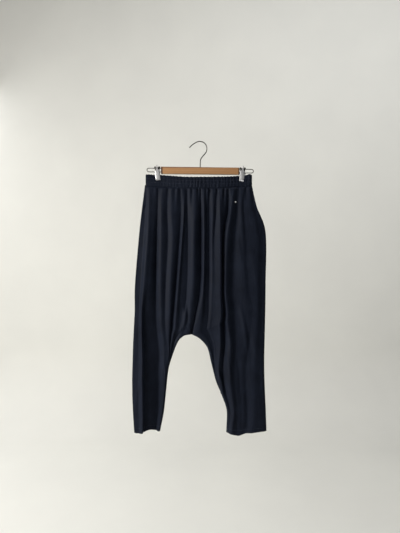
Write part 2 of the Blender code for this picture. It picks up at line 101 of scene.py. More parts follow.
def add_mix(tree, share, first, second):
    """The colour between two: hex colours or sockets."""
    ends = [linear(end) if isinstance(end, str) else end for end in (first, second)]
    inputs = {"Factor": share, "A": ends[0], "B": ends[1]}
    return add_node(tree, "ShaderNodeMix", inputs, data_type="RGBA").outputs["Result"]


def add_noise(tree, place, size, detail, **more):
    """Noise whose patches are about one size across, at a place."""
    inputs = {"Vector": place, "Scale": 1 / size, "Detail": detail, **more}
    return add_node(tree, "ShaderNodeTexNoise", inputs).outputs["Fac"]


def add_range(tree, value, low, high, **more):
    """A value turned from its own range to the one from low to high."""
    inputs = {"Value": value, "To Min": low, "To Max": high, **more}
    return add_node(tree, "ShaderNodeMapRange", inputs).outputs["Result"]


def add_bump(tree, height, strength, distance, under=None):
    """The surface's normal with a relief on it, over another relief if one is given."""
    inputs = {"Height": height, "Strength": strength, "Distance": distance}
    if under is not None:
        inputs["Normal"] = under
    return add_node(tree, "ShaderNodeBump", inputs).outputs["Normal"]


def add_surface(tree, **inputs):
    """End a material with its Principled surface; an underscore in a name stands for a space."""
    named = {name.replace("_", " "): value for name, value in inputs.items()}
    surface = add_node(tree, "ShaderNodeBsdfPrincipled", named)
    add_node(tree, "ShaderNodeOutputMaterial", {"Surface": surface.outputs["BSDF"]})


# Nearly matt: the pebbled face breaks up the light, and only steep flanks of folds turn pale.
crepe, tree, place = empty_material("piece-dyed viscose crepe")
# Slubs run down the cloth, so their noise is stretched along Z.
down = add_node(tree, "ShaderNodeMapping", {"Vector": place, "Scale": (1, 1, CREPE_SLUB[0] / CREPE_SLUB[1])})
slubs = add_noise(tree, down.outputs["Vector"], CREPE_SLUB[0], 2.0)
drift = add_noise(tree, place, SHADE_DRIFT, 3.0)
shade = add_node(tree, "ShaderNodeMath", {0: slubs, 1: drift}, operation="ADD").outputs["Value"]
shade = add_range(tree, shade, 0.0, 1.0, **{"From Min": 0.7, "From Max": 1.3})
navy = add_mix(tree, shade, "#121620", "#191e2a")
gloss = add_range(tree, shade, 0.52, 0.64)
# The pebble is drawn about twice its real size, so that it still shows at arm's length.
pebble = add_noise(tree, place, CREPE_PEBBLE, 3.0, Roughness=0.6)
relief = add_bump(tree, slubs, 0.25, 0.10 * MM)
relief = add_bump(tree, pebble, 0.5, 0.12 * MM, under=relief)
add_surface(tree, Base_Color=navy, Roughness=gloss, Normal=relief, Specular_IOR_Level=0.06,
            Sheen_Weight=0.05, Sheen_Roughness=0.45, Sheen_Tint=linear("#8f9cc4"))


# ---------------------------------------------------------------------------------------------
# Four panels, each half the body and one leg in one piece, front and back. They are gathered on to
# the waistband and hang in soft uneven folds that close in on the low crotch; hems are turned up.
GAP = 0.3 * MM
SHELL = 0.9 * MM

# Seams, from the waist down, in millimetres. Rows of one number are level in the cloth.
# columns: x, z
SIDE_SEAMS = {
    "right": (
        (-183.5, -145.5), (-194.2, -231.0), (-203.8, -318.0), (-216.0, -470.0),
        (-217.0, -558.0), (-220.2, -618.0), (-222.6, -672.0), (-224.2, -726.0),
        (-225.6, -779.0), (-225.0, -838.0), (-222.6, -897.0), (-218.8, -957.0),
    ),
    "left": (
        (169.6, -144.5), (185.6, -214.0), (215.0, -300.0), (214.8, -470.0),
        (214.2, -538.0), (212.9, -600.0), (211.5, -660.0), (210.2, -726.0),
        (211.5, -792.0), (213.8, -845.0), (215.8, -894.0), (217.8, -951.5),
    ),
}
CENTRE_SEAM = ((0.5, -153.0), (1.5, -234.0), (1.5, -324.0), (-1.5, -488.0), (-29.7, -634.6))
INSEAMS = {
    "right": (
        (-29.7, -634.6), (-53.5, -639.5), (-72.6, -657.0), (-88.5, -693.5),
        (-105.0, -748.0), (-112.6, -813.0), (-120.5, -888.0), (-133.0, -953.0),
    ),
    "left": (
        (-29.7, -634.6), (-3.3, -649.0), (22.4, -679.0), (36.3, -732.5),
        (50.8, -788.5), (69.3, -833.5), (86.1, -884.5), (84.8, -957.0),
    ),
}
CROTCH_ROW = 4
HIP_ROW = 3
POCKET_ROWS = (0.15, 1.95)
POCKET_GAPE = 3.0
CENTRE_DEPTHS = (11.0, 11.0, 10.0, 10.0)

# Ridges and valleys that run down a panel, from its side seam to its inner seam: where each one
# stands across the garment, how far it comes out from the middle plane, and how sharp it is, from
# 0, round, to 1, creased. All in millimetres, at the rows of the seams named here.
FOLD_ROWS = (0, 1, 2, 3, 4, 8, 11)
# columns: x at (waist, ... hem), depth at (waist, ... hem), sharpness
FOLDS = {
    "front_right": (
        ((-181, -191.5, -200.5, -213, -214, -220, -216), (5, 7, 8, 9, 10, 8, 6), 0.2),
        ((-175, -181, -187, -196, -201, -204, -203), (6, 7, 8.5, 10, 11, 9, 7), 1.0),
        ((-164, -168, -171, -184, -191, -189, -188), (9, 15, 20, 22, 22, 21, 19), 0.2),
        ((-152, -155, -158, -168, -184, -186, -186), (8, 13, 16, 17, 13, 10, 8), 0.5),
        ((-138, -140, -143, -146, -145, -138, -146), (6, 8, 7, 5, 1, -5, -6), 1.4),
        ((-123, -126, -127, -129, -127, -121, -141), (10, 15, 18, 18, 15, 7, 2), 0.1),
        ((-107, -109, -106, -114, -116, -115, -139), (8, 10, 12, 13, 13, 8, 4), 1.0),
        ((-90, -93, -89, -97, -102, -111.5, -137.8), (12, 17, 20, 21, 18, 7, 4), 0.1),
        ((-66, -63, -68, -81, -92, -109.5, -136.8), (9, 10, 11, 10, 8, 6, 4), 1.5),
        ((-52, -54, -60, -73, -83, -108.5, -136), (11, 16, 20, 20, 17, 6, 4), 0.3),
        ((-48, -50, -54, -64, -72, -107.5, -135.2), (10, 13, 15, 15, 12, 5, 3), 0.6),
        ((-44, -43, -41, -44, -61, -107, -134.5), (9, 10, 11, 11, 8, 4, 3), 1.4),
        ((-18, -18, -21, -24, -43, -106, -133.8), (14, 22, 25, 23, 14, 4, 2), 0.1),
    ),
    "front_left": (
        ((165, 181, 206, 205, 204, 200, 203), (5, 7, 8, 8, 8, 9, 9), 0.2),
        ((158, 164, 183, 183, 184, 174, 171), (7, 12, 14, 14, 14, 14, 14), 0.0),
        ((144, 141, 148, 157, 170, 148, 150), (6, 9, 11, 12, 13, 9, 9.5), 0.8),
        ((135, 134, 137, 145, 153, 131, 135), (8, 12, 14, 14, 14, 12.5, 12.5), 0.0),
        ((120, 121, 113, 106, 112, 112, 118), (7, 8, 8, 8, 8.5, 14, 13.5), 0.3),
        ((109, 100, 87, 81, 86, 97, 101), (13, 18, 20, 20, 20, 20, 17), 0.2),
        ((91, 91, 72, 72, 76, 76, 91), (9, 8, 6, 5, 4, 4, 7), 1.4),
        ((62, 63, 65, 65, 63, 62, 89.5), (14, 22, 25, 25, 22, 9, 6), 0.8),
        ((53, 51, 45, 45, 40, 57, 88.5), (11, 15, 17, 18, 14, 6, 5), 0.8),
        ((42, 41, 38, 39, 32, 55, 87.5), (13, 20, 19, 17, 12, 5, 4), 0.1),
        ((29, 29, 29, 28, 20, 53.5, 86.8), (9, 10, 10, 9, 8, 4, 3), 1.4),
        ((19, 18, 19, 16, 8, 52.6, 86.2), (11, 13, 14, 13, 10, 3, 2), 0.6),
        ((12, 12, 12, 9, -5, 51.8, 85.6), (13, 19, 20, 19, 13, 3, 2), 0.3),
    ),
    "back_right": (
        ((-176, -187, -194, -204, -207, -212, -210), (6, 8, 10, 11, 11, 10, 9), 0.2),
        ((-160, -164, -170, -180, -186, -196, -198), (8, 16, 20, 21, 23, 24, 24), 0.0),
        ((-146, -150, -152, -158, -164, -180, -184), (7, 10, 12, 13, 15, 19, 20), 1.2),
        ((-128, -128, -126, -134, -140, -160, -164), (11, 20, 24, 24, 25, 25, 24), 0.1),
        ((-108, -106, -104, -110, -118, -146, -156), (8, 12, 14, 15, 17, 20, 20), 1.3),
        ((-92, -90, -86, -88, -96, -128, -149), (13, 22, 25, 26, 24, 21, 18), 0.1),
        ((-70, -66, -64, -62, -74, -118, -142), (9, 11, 12, 13, 14, 15, 14), 1.3),
        ((-56, -52, -48, -46, -58, -111, -138), (12, 21, 25, 26, 22, 10, 8), 0.2),
        ((-38, -34, -32, -30, -44, -108, -136), (9, 12, 14, 15, 14, 7, 5), 1.2),
        ((-18, -16, -16, -16, -36, -106.5, -134), (14, 23, 26, 26, 16, 4, 3), 0.1),
    ),
    "back_left": (
        ((163, 180, 204, 205, 205, 203, 207), (6, 8, 10, 11, 11, 10, 9), 0.2),
        ((150, 158, 178, 182, 184, 184, 188), (8, 15, 19, 20, 21, 21, 19), 0.0),
        ((134, 140, 152, 158, 160, 166, 174), (7, 10, 12, 13, 14, 15, 16), 1.3),
        ((118, 122, 130, 134, 138, 146, 156), (11, 20, 24, 24, 24, 23, 20), 0.1),
        ((98, 100, 106, 108, 112, 126, 142), (8, 11, 13, 14, 15, 16, 15), 1.2),
        ((84, 84, 86, 88, 90, 104, 126), (13, 22, 25, 26, 25, 21, 17), 0.2),
        ((66, 64, 64, 64, 64, 86, 112), (9, 12, 13, 14, 14, 13, 12), 1.3),
        ((50, 48, 46, 44, 40, 68, 99), (13, 21, 24, 25, 22, 12, 10), 0.1),
        ((34, 32, 30, 26, 14, 58, 91), (9, 11, 13, 14, 13, 7, 6), 1.2),
        ((16, 14, 13, 10, -8, 54, 87), (14, 22, 25, 25, 16, 4, 3), 0.2),
    ),
}

# The gathers between and on the folds, which die out a little below the waistband.
# columns: x on the gathering seam, x where it dies out, half width, height, reach down the cloth
GATHERS = {
    "front": (
        (-173, -170, 5.0, 1.6, 75), (-146, -148, 4.0, 1.8, 60), (-131, -131, 4.0, -1.4, 45),
        (-114, -112, 4.5, 2.2, 40), (-97, -96, 4.0, 2.0, 70), (-83, -85, 3.5, -2.4, 85),
        (-76, -80, 4.0, 3.4, 100), (-60, -59, 3.0, 1.8, 45), (-35, -37, 4.0, 3.8, 70),
        (-27, -28, 2.8, -3.4, 75), (-8, -7, 2.8, -3.8, 55), (-4, -5, 2.4, 2.2, 45),
        (24, 22, 3.4, 4.0, 60), (34, 33, 2.4, -1.4, 40), (48, 50, 2.8, 2.0, 35),
        (56, 55, 2.6, -2.6, 50), (70, 69, 3.4, 4.4, 80), (77, 76, 2.6, -3.0, 70),
        (84, 80, 4.0, 4.8, 105), (97, 97, 3.2, 2.8, 45), (117, 116, 4.0, 1.8, 35),
        (126, 124, 3.4, -1.8, 60), (143, 139, 3.4, 2.8, 60), (150, 150, 3.0, -2.0, 60),
        (160, 165, 4.0, 1.8, 60),
    ),
    "back": (
        (-168, -166, 4.5, 1.8, 70), (-152, -151, 3.6, 2.4, 50), (-139, -140, 3.4, -2.0, 80),
        (-118, -117, 4.2, 2.6, 60), (-100, -102, 3.4, 2.2, 90), (-80, -79, 3.6, -2.6, 70),
        (-75, -76, 3.0, 2.8, 50), (-60, -61, 3.2, -2.2, 60), (-45, -46, 3.6, 3.6, 85),
        (-30, -29, 3.2, -2.4, 40), (-8, -8, 2.8, -3.0, 60), (6, 7, 2.6, 2.4, 45),
        (25, 24, 3.4, 3.6, 75), (40, 41, 3.0, -2.2, 50), (57, 58, 3.2, -2.6, 80),
        (73, 71, 3.6, 3.6, 60), (91, 92, 3.2, 2.4, 95), (103, 104, 2.8, -1.8, 45),
        (109, 110, 3.2, 2.2, 60), (127, 129, 3.4, -2.2, 70), (142, 144, 3.6, 2.6, 55),
        (157, 160, 4.0, 1.8, 65),
    ),
}

# Creases listed one by one, each a soft ridge, or a trough where its height is negative.
# columns: x and z of its start, x and z of its end, bow to the right, half width, height
CREASES = {
    "front_right": (
        (-51, -546, -67, -634, 5, 7.0, 7.0), (-44, -500, -43, -610, 2, 4.0, -2.0),
        (-196, -226, -188, -178, -2, 3.0, 1.2), (-188, -244, -178, -206, 1, 3.4, -1.4),
        (-199, -262, -191, -236, -1, 2.6, 1.6), (-201, -700, -214, -800, 4, 5.0, 0.8),
        (-190, -760, -212, -880, -5, 6.0, 1.4), (-206, -860, -200, -950, 3, 5.0, -1.0),
        (-176, -820, -160, -930, 4, 7.0, 1.0), (-150, -700, -146, -860, 3, 8.0, -1.0),
        (-120, -700, -112, -780, -2, 4.0, 1.2), (-96, -655, -104, -735, -3, 3.2, 1.4),
        (-60, -642, -86, -672, -4, 3.0, 1.2), (-44, -600, -30, -630, 2, 3.0, 1.4),
        (-128, -860, -133, -930, 1, 4.0, 1.2), (-170, -930, -150, -948, 0, 4.0, 1.2),
    ),
    "front_left": (
        (126, -530, 152, -690, 5, 7.0, 2.4), (140, -560, 168, -760, 8, 9.0, -1.6),
        (160, -340, 182, -470, 4, 9.0, 1.2), (130, -300, 150, -420, -3, 7.0, -1.2),
        (52, -745, 73, -832, 6, 6.0, 5.0), (44, -700, 56, -770, -3, 4.0, -2.0),
        (18, -664, 36, -712, 4, 3.6, 2.4), (-8, -640, 12, -664, 2, 3.0, 2.0),
        (-16, -600, -26, -628, -2, 3.2, 1.8), (86, -660, 101, -790, -3, 5.0, 1.6),
        (118, -700, 132, -840, 3, 7.0, -1.4), (150, -800, 140, -900, -3, 8.0, 1.0),
        (188, -226, 200, -268, -3, 3.4, 1.8), (176, -190, 190, -226, -2, 3.0, 1.6),
        (168, -176, 176, -204, -1, 2.6, -1.2), (181, -250, 192, -310, 2, 4.0, -1.2),
        (94, -880, 104, -950, 2, 4.0, 1.2), (190, -820, 198, -930, 2, 6.0, 1.0),
        (206, -600, 204, -760, -1, 4.0, -0.8), (112, -860, 120, -945, 1, 5.0, -1.0),
    ),
    "back_right": (
        (-60, -500, -76, -620, 5, 7.0, 3.0), (-120, -560, -150, -700, 6, 8.0, 2.0),
        (-96, -660, -106, -740, -3, 4.0, 1.6), (-190, -700, -206, -820, 4, 6.0, 1.2),
        (-160, -760, -170, -900, -4, 8.0, -1.4), (-140, -820, -150, -930, 3, 6.0, 1.2),
        (-196, -240, -186, -190, 2, 3.4, 1.2), (-64, -645, -84, -676, -4, 3.2, 1.4),
        (-130, -330, -150, -440, 4, 8.0, 1.4), (-44, -604, -32, -630, 2, 3.0, 1.6),
    ),
    "back_left": (
        (24, -540, 2, -630, -4, 6.0, 2.6), (96, -560, 120, -700, 6, 8.0, 2.0),
        (40, -700, 56, -775, -3, 4.0, 1.6), (170, -640, 188, -780, 4, 7.0, 1.2),
        (134, -760, 142, -900, 4, 8.0, -1.4), (108, -830, 118, -935, -3, 6.0, 1.2),
        (184, -230, 200, -280, -3, 3.6, 1.4), (10, -655, 30, -695, 4, 3.2, 1.6),
        (120, -330, 140, -430, 4, 8.0, 1.2), (-14, -604, -26, -630, -2, 3.0, 1.4),
    ),
}

# columns: number of rows of the seams passed, steps of the sheet in that stretch
SHEET_STRETCHES = ((1, 40), (1, 34), (1, 50), (1, 44), (7, 140))
COLUMN_WIDTH = 2.3
EDGE_STEPS = 6
HEM_DEPTH = 15.0
HEM_LAYER = 0.5
HEM_STITCH_SINK = 0.55
THREAD_DENT = 1.1
SEAM_WINDOW = 7.0
# Seams draw the cloth in a little, where it stands out far enough.
SEAM_PULL = 0.5
SEAM_PULL_WIDTH = 2.2
SEAM_PULL_FROM = 2.0
HEM_SAG_REACH = 90.0
# How far the hem hangs below its straight line.
# columns: x, half width, drop
HEM_SAGS = {
    "front_right": ((-203, 14, 2.0), (-166, 17, -6.0)),
    "front_left": ((124, 20, 8.0), (158, 16, 2.0)),
    "back_right": ((-190, 20, 3.0), (-150, 14, -2.0)),
    "back_left": ((150, 24, 5.0), (110, 12, 2.0)),
}

# The waistband's outer face from its right end to its left end, pinched flat under the clips.
# columns: x, top_z, depth at the top, depth at the gathering seam
WAISTBAND = (
    (-181.2, -108.5, 0.0, 0.0), (-177.0, -107.8, 5.5, 6.0), (-164.0, -108.0, 5.2, 7.0),
    (-152.0, -109.2, 3.7, 6.5), (-128.5, -109.6, 3.7, 6.5), (-105.0, -112.0, 7.0, 9.5),
    (-51.0, -116.6, 11.0, 13.0), (0.0, -117.0, 12.0, 14.0), (70.0, -116.0, 10.5, 12.5),
    (105.0, -114.2, 7.0, 9.0), (124.5, -112.2, 3.7, 6.5), (149.5, -109.6, 3.7, 6.5),
    (159.0, -107.0, 5.2, 6.5), (166.0, -107.5, 5.5, 6.0), (170.0, -109.5, 0.0, 0.0),
)
# columns: x, z
GATHERING_SEAM = ((-190.0, -144.5), (-51.0, -152.8), (60.0, -152.8), (175.0, -144.8))
PANEL_TUCK = 2.0
TUCK_DEPTH = 2.0
TUCK_REACH = 8.0


def through(knots, values, at):
    """Read, at one place, the smooth curve that goes through the values at the knots."""
    last = len(knots) - 1
    if at <= knots[0]:
        return values[0]
    if at >= knots[last]:
        return values[last]
    low = max(place for place in range(last) if knots[place] <= at)

    def slope(place):
        before = max(place - 1, 0)
        after = min(place + 1, last)
        return (values[after] - values[before]) / (knots[after] - knots[before])

    width = knots[low + 1] - knots[low]
    part = (at - knots[low]) / width
    keep = (1 + 2 * part) * (1 - part) ** 2
    leave = part * (1 - part) ** 2
    arrive = part ** 2 * (part - 1)
    take = part ** 2 * (3 - 2 * part)
    return (keep * values[low] + take * values[low + 1]
            + width * (leave * slope(low) + arrive * slope(low + 1)))


def seam_point(seam, row):
    """x and z of a seam, in millimetres, at a row counted from the seam's own start."""
    rows = range(len(seam))
    xs, zs = zip(*seam)
    return through(rows, xs, row), through(rows, zs, row)


def inner_point(side, row):
    """The inner end of a panel's row: on the centre seam, or below the crotch on the inseam."""
    if row > CROTCH_ROW:
        return seam_point(INSEAMS[side], row - CROTCH_ROW)
    return seam_point(CENTRE_SEAM, row)


def centre_depth(row):
    """Distance of the centre seam from the middle plane: it curves under to 0 at the crotch."""
    if row >= CROTCH_ROW:
        return 0.0
    if row <= HIP_ROW:
        return through(range(len(CENTRE_DEPTHS)), CENTRE_DEPTHS, row)
    fall = (row - HIP_ROW) / (CROTCH_ROW - HIP_ROW)
    return CENTRE_DEPTHS[HIP_ROW] * math.sqrt(1 - fall ** 2)


def panel_lines(panel, row):
    """The panel's cross-section at a row: (place across, depth, sharpness) of seams and folds."""
    face, side = panel.split("_")
    gape = 0.0
    if face == "front" and POCKET_ROWS[0] < row < POCKET_ROWS[1]:
        opened = (row - POCKET_ROWS[0]) / (POCKET_ROWS[1] - POCKET_ROWS[0])
        gape = POCKET_GAPE * math.sin(math.pi * opened)
    lines = [(0.0, gape, 0.0)]
    for xs, depths, sharpness in FOLDS[panel]:
        places = []
        for x, fold_row in zip(xs, FOLD_ROWS):
            start = seam_point(SIDE_SEAMS[side], fold_row)[0]
            end = inner_point(side, fold_row)[0]
            places.append((x - start) / (end - start))
        lines.append((through(FOLD_ROWS, places, row), through(FOLD_ROWS, depths, row), sharpness))
    lines.append((1.0, centre_depth(row), 1.0))
    return lines


def fold_flank(part, start_sharpness, end_sharpness):
    """Share of the way from one line's depth to the next: level at a round line, steep at a crease."""
    return (part ** 2 * (3 - 2 * part) + start_sharpness * part * (1 - part) ** 2
            + end_sharpness * part ** 2 * (part - 1))


def quarter_turn(part):
    """Share across and share of the rise, round a quarter turn."""
    return 1 - math.cos(part * math.pi / 2), math.sin(part * math.pi / 2)


def panel_section(panel, row, steps):
    """(place, depth) of every column of the sheet at a row."""
    lines = panel_lines(panel, row)
    columns = []
    for number, (left, right) in enumerate(zip(lines[:-1], lines[1:])):
        last = number == len(lines) - 2
        for step in range(steps[number] + last):
            part = step / steps[number]
            if number == 0:
                across, rise = quarter_turn(part)
            elif last:
                # A valley on the centre seam, which turns into a round edge on the inseam.
                rounded_across, fall = quarter_turn(1 - part)
                rounded = min(max((row - HIP_ROW) / (CROTCH_ROW - HIP_ROW), 0.0), 1.0)
                across = part + (1 - rounded_across - part) * rounded
                rise = fold_flank(part, left[2], right[2])
                rise += (1 - fall - rise) * rounded
            else:
                across = part
                rise = fold_flank(part, left[2], right[2])
            columns.append((left[0] + (right[0] - left[0]) * across,
                            left[1] + (right[1] - left[1]) * rise))
    return columns


def sheet_rows():
    """Row numbers of the sheet from the waist to the hem, closest together at the gathers."""
    rows = [0.0]
    for length, steps in SHEET_STRETCHES:
        start = rows[-1]
        rows += [start + length * step / steps for step in range(1, steps + 1)]
    return rows


def smooth_step(value):
    """0 below 0, 1 above 1, and a soft rise between, for a whole array."""
    value = np.clip(value, 0.0, 1.0)
    return value * value * (3 - 2 * value)


def read_band(column, x):
    """One column of the waistband's table, read along x for a whole array."""
    table = np.array(WAISTBAND)
    return np.interp(x, table[:, 0], table[:, column])


def seam_height(x):
    """Height of the gathering seam, for a whole array of x in millimetres."""
    xs, zs = zip(*GATHERING_SEAM)
    return np.interp(x, xs, zs)


def gather_relief(face, x, below):
    """Height of the waistband's gathers on the cloth, at a distance below the gathering seam."""
    relief = np.zeros_like(x)
    for start, end, width, height, reach in GATHERS[face]:
        part = np.clip(below / reach, 0.0, 1.0)
        middle = start + (end - start) * part
        spread = width * (1 + 0.5 * part)
        relief += height * np.exp(-((x - middle) / spread) ** 2) * (1 - part) ** 1.2
    return relief


def crease_relief(panel, x, z):
    """Height of the listed creases of a panel."""
    relief = np.zeros_like(x)
    for x1, z1, x2, z2, bow, width, height in CREASES[panel]:
        run = np.array((x2 - x1, z2 - z1), dtype=float)
        length = np.linalg.norm(run)
        run /= length
        along = ((x - x1) * run[0] + (z - z1) * run[1]) / length
        inside = np.clip(along, 0.0, 1.0)
        off = (x - x1) * run[1] - (z - z1) * run[0] + bow * 4 * inside * (1 - inside)
        fade = smooth_step((along + 0.12) / 0.4) * smooth_step((1.12 - along) / 0.4)
        relief += height * np.exp(-(off / width) ** 2) * fade
    return relief


def drape_relief(seed, x, z):
    """The slow unevenness of hanging cloth: long shallow waves that cross and drift."""
    draw = random.Random(seed)
    relief = np.zeros_like(x)
    for wave in range(9):
        across = draw.uniform(9.0, 34.0)
        down = draw.uniform(70.0, 260.0)
        lean = draw.uniform(-0.35, 0.35)
        start = draw.uniform(0, 2 * math.pi)
        height = draw.uniform(0.10, 0.34)
        relief += height * np.sin((x + lean * z * 0.3) / across + start) * np.sin(z / down + wave)
    return relief


def hem_relief(seed, x, above):
    """The turned-up hem: a second layer, a sunk line of stitching, and small puckers."""
    draw = random.Random(seed)
    layer = HEM_LAYER * smooth_step((HEM_DEPTH + 0.8 - above) / 1.6)
    stitch = -HEM_STITCH_SINK * np.exp(-((above - HEM_DEPTH) / THREAD_DENT) ** 2)
    pucker = np.zeros_like(x)
    for wave in range(5):
        pucker += draw.uniform(0.15, 0.45) * np.sin(x / draw.uniform(2.2, 7.0) + draw.uniform(0, 6.3))
    return layer + stitch + pucker * np.exp(-((above - 0.6 * HEM_DEPTH) / 13.0) ** 2) * 0.7


def panel_points(panel, seed):
    """Points of the panel's outer face, rows by columns by three, in metres."""
    face, side = panel.split("_")
    outward = -1 if face == "front" else 1
    hips = panel_lines(panel, HIP_ROW)
    hip_width = abs(inner_point(side, HIP_ROW)[0] - seam_point(SIDE_SEAMS[side], HIP_ROW)[0])
    steps = []
    for left, right in zip(hips[:-1], hips[1:]):
        run = math.hypot((right[0] - left[0]) * hip_width, 1.2 * (right[1] - left[1]))
        steps.append(max(4, round(run / COLUMN_WIDTH)))
    steps[0] = steps[-1] = EDGE_STEPS + 2
    rows = sheet_rows()
    sections = np.array([panel_section(panel, row, steps) for row in rows])
    place, depth = sections[..., 0], sections[..., 1]
    start = np.array([seam_point(SIDE_SEAMS[side], row) for row in rows])[:, None, :]
    end = np.array([inner_point(side, row) for row in rows])[:, None, :]
    x = start[..., 0] + (end[..., 0] - start[..., 0]) * place
    z = start[..., 1] + (end[..., 1] - start[..., 1]) * place
    row = np.array(rows)[:, None]

    # The top edge follows the gathering seam and is tucked up between the waistband's two layers.
    lift = (seam_height(x[:1]) - z[:1]) + PANEL_TUCK
    z = z + lift * np.clip(1 - row / 0.5, 0.0, 1.0)
    below = seam_height(x) - z
    tucked = read_band(3, x) - TUCK_DEPTH
    opening = smooth_step(below / TUCK_REACH)

    # Relief dies out at the seams, so that the panels' edges still meet.
    seam_gap = np.minimum(place, 1 - place) * np.abs(end[..., 0] - start[..., 0])
    window = smooth_step(seam_gap / SEAM_WINDOW)
    above = z - (start[-1, 0, 1] + (end[-1, 0, 1] - start[-1, 0, 1]) * place)
    relief = (gather_relief(face, x, below) + crease_relief(panel, x, z)
              + drape_relief(seed, x, z) + hem_relief(seed + 1, x, above))
    open_edge = read_band(3, x) > 0.5
    depth = np.where(open_edge, tucked * (1 - opening) + depth * opening, depth)
    depth = depth + relief * window * opening
    depth -= SEAM_PULL * np.exp(-(seam_gap / SEAM_PULL_WIDTH) ** 2) * (depth > SEAM_PULL_FROM)
    # The hem's edge isn't quite level.
    draw = random.Random(seed + 2)
    for sag_x, half_width, drop in HEM_SAGS[panel]:
        sag = drop * np.exp(-((x - sag_x) / half_width) ** 2)
        z = z - sag * np.clip(1 - above / HEM_SAG_REACH, 0.0, 1.0) ** 2 * window
    wander = sum(draw.uniform(0.2, 0.6) * np.sin(x / draw.uniform(6.0, 26.0) + draw.uniform(0, 6.3))
                 for wave in range(4))
    z = z + wander * np.exp(-above / 14.0) * window
    return np.stack((x, outward * depth, z), axis=-1) * MM


def sheet_normals(points, outward):
    """Unit normals of a sheet's points, on the side of outward along Y."""
    normals = np.cross(np.gradient(points, axis=1), np.gradient(points, axis=0))
    normals /= np.maximum(np.linalg.norm(normals, axis=-1, keepdims=True), 1e-12)
    turn = 1.0 if normals[..., 1].mean() * outward > 0 else -1.0
    return normals * turn


def add_sheet(name, points, outward, material, shell):
    """A mesh object from a grid of points, facing outward, with a shell's thickness behind it."""
    count_down, count_across = points.shape[:2]
    corners = np.arange(count_down * count_across).reshape(count_down, count_across)
    faces = np.stack((corners[1:, :-1], corners[:-1, :-1], corners[:-1, 1:], corners[1:, 1:]), axis=-1)
    mesh = bpy.data.meshes.new(name)
    mesh.from_pydata(points.reshape(-1, 3).tolist(), [], faces.reshape(-1, 4).tolist())
    mesh.materials.append(material)
    piece = bpy.data.objects.new(name, mesh)
    bpy.context.collection.objects.link(piece)
    mesh.update()
    if sum(face.normal.y * face.area for face in mesh.polygons) * outward < 0:
        mesh.flip_normals()
    mesh.shade_smooth()
    bpy.ops.object.select_all(action="DESELECT")
    piece.select_set(True)
    bpy.context.view_layer.objects.active = piece
    wall = piece.modifiers.new("shell", "SOLIDIFY")
    wall.thickness = shell
    wall.offset = -1.0
    bpy.ops.object.modifier_apply(modifier=wall.name)
    piece.select_set(False)
    return piece


def join_frame(piece, slot, *nodes):
    """Hide the CAD nodes that a finished piece replaces; it rides on the one body. Its slot is not used."""
    if nodes:
        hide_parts(*nodes)
    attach(piece, "root")


# Flat cuts: the panel's width at the waist edge before gathering, its length, and its area.
# columns: flat width, flat length, flat area, seed of its drape
PANEL_CUTS = {
    "front_right": (0.330, 0.830, 0.175, 11),
    "front_left": (0.330, 0.830, 0.175, 23),
    "back_right": (0.330, 0.830, 0.175, 37),
    "back_left": (0.330, 0.830, 0.175, 41),
}
panel_sheets = {}
for panel, (cut_width, cut_length, cut_area, seed) in PANEL_CUTS.items():
    outward = -1 if panel.startswith("front") else 1
    face = panel.split("_")[0]
    points = panel_points(panel, seed)
    panel_sheets[panel] = (points, sheet_normals(points, outward))
    piece = add_sheet(f"{panel}_cloth", points, outward, crepe, SHELL)
    join_frame(piece, "navy_crepe", panel)


# ---------------------------------------------------------------------------------------------
# Waistband. Two strips of the same crepe, folded over elastic and stitched through in rows, so that
# the cloth puffs and ruches between them; each is a casing with the panels' edges tucked up in it.
BAND_SHELL = 0.8
BAND_THICKNESS = 2.9
BAND_COLUMN = 1.1
BAND_ROWS_OUTSIDE = 34
BAND_TURN_STEPS = 5
BAND_ROWS_INSIDE = 10
RUCHE_HEIGHT = 0.75
PUFF_HEIGHT = 0.55
# Shares of the band's width where the elastic is stitched through.
BAND_STITCHING = (0.34, 0.66)
CLIP_PLACES = {"right": -141.5, "left": 140.0}
CLIP_WIDTH = 15.0


def ruche_phase(xs, seed, shortest, longest):
    """An angle that grows by a whole turn for each uneven ruche along the band."""
    draw = random.Random(seed)
    knots = [xs[0] - 20.0]
    while knots[-1] < xs[-1] + 20.0:
        knots.append(knots[-1] + draw.uniform(shortest, longest))
    return np.interp(xs, knots, 2 * math.pi * np.arange(len(knots)))


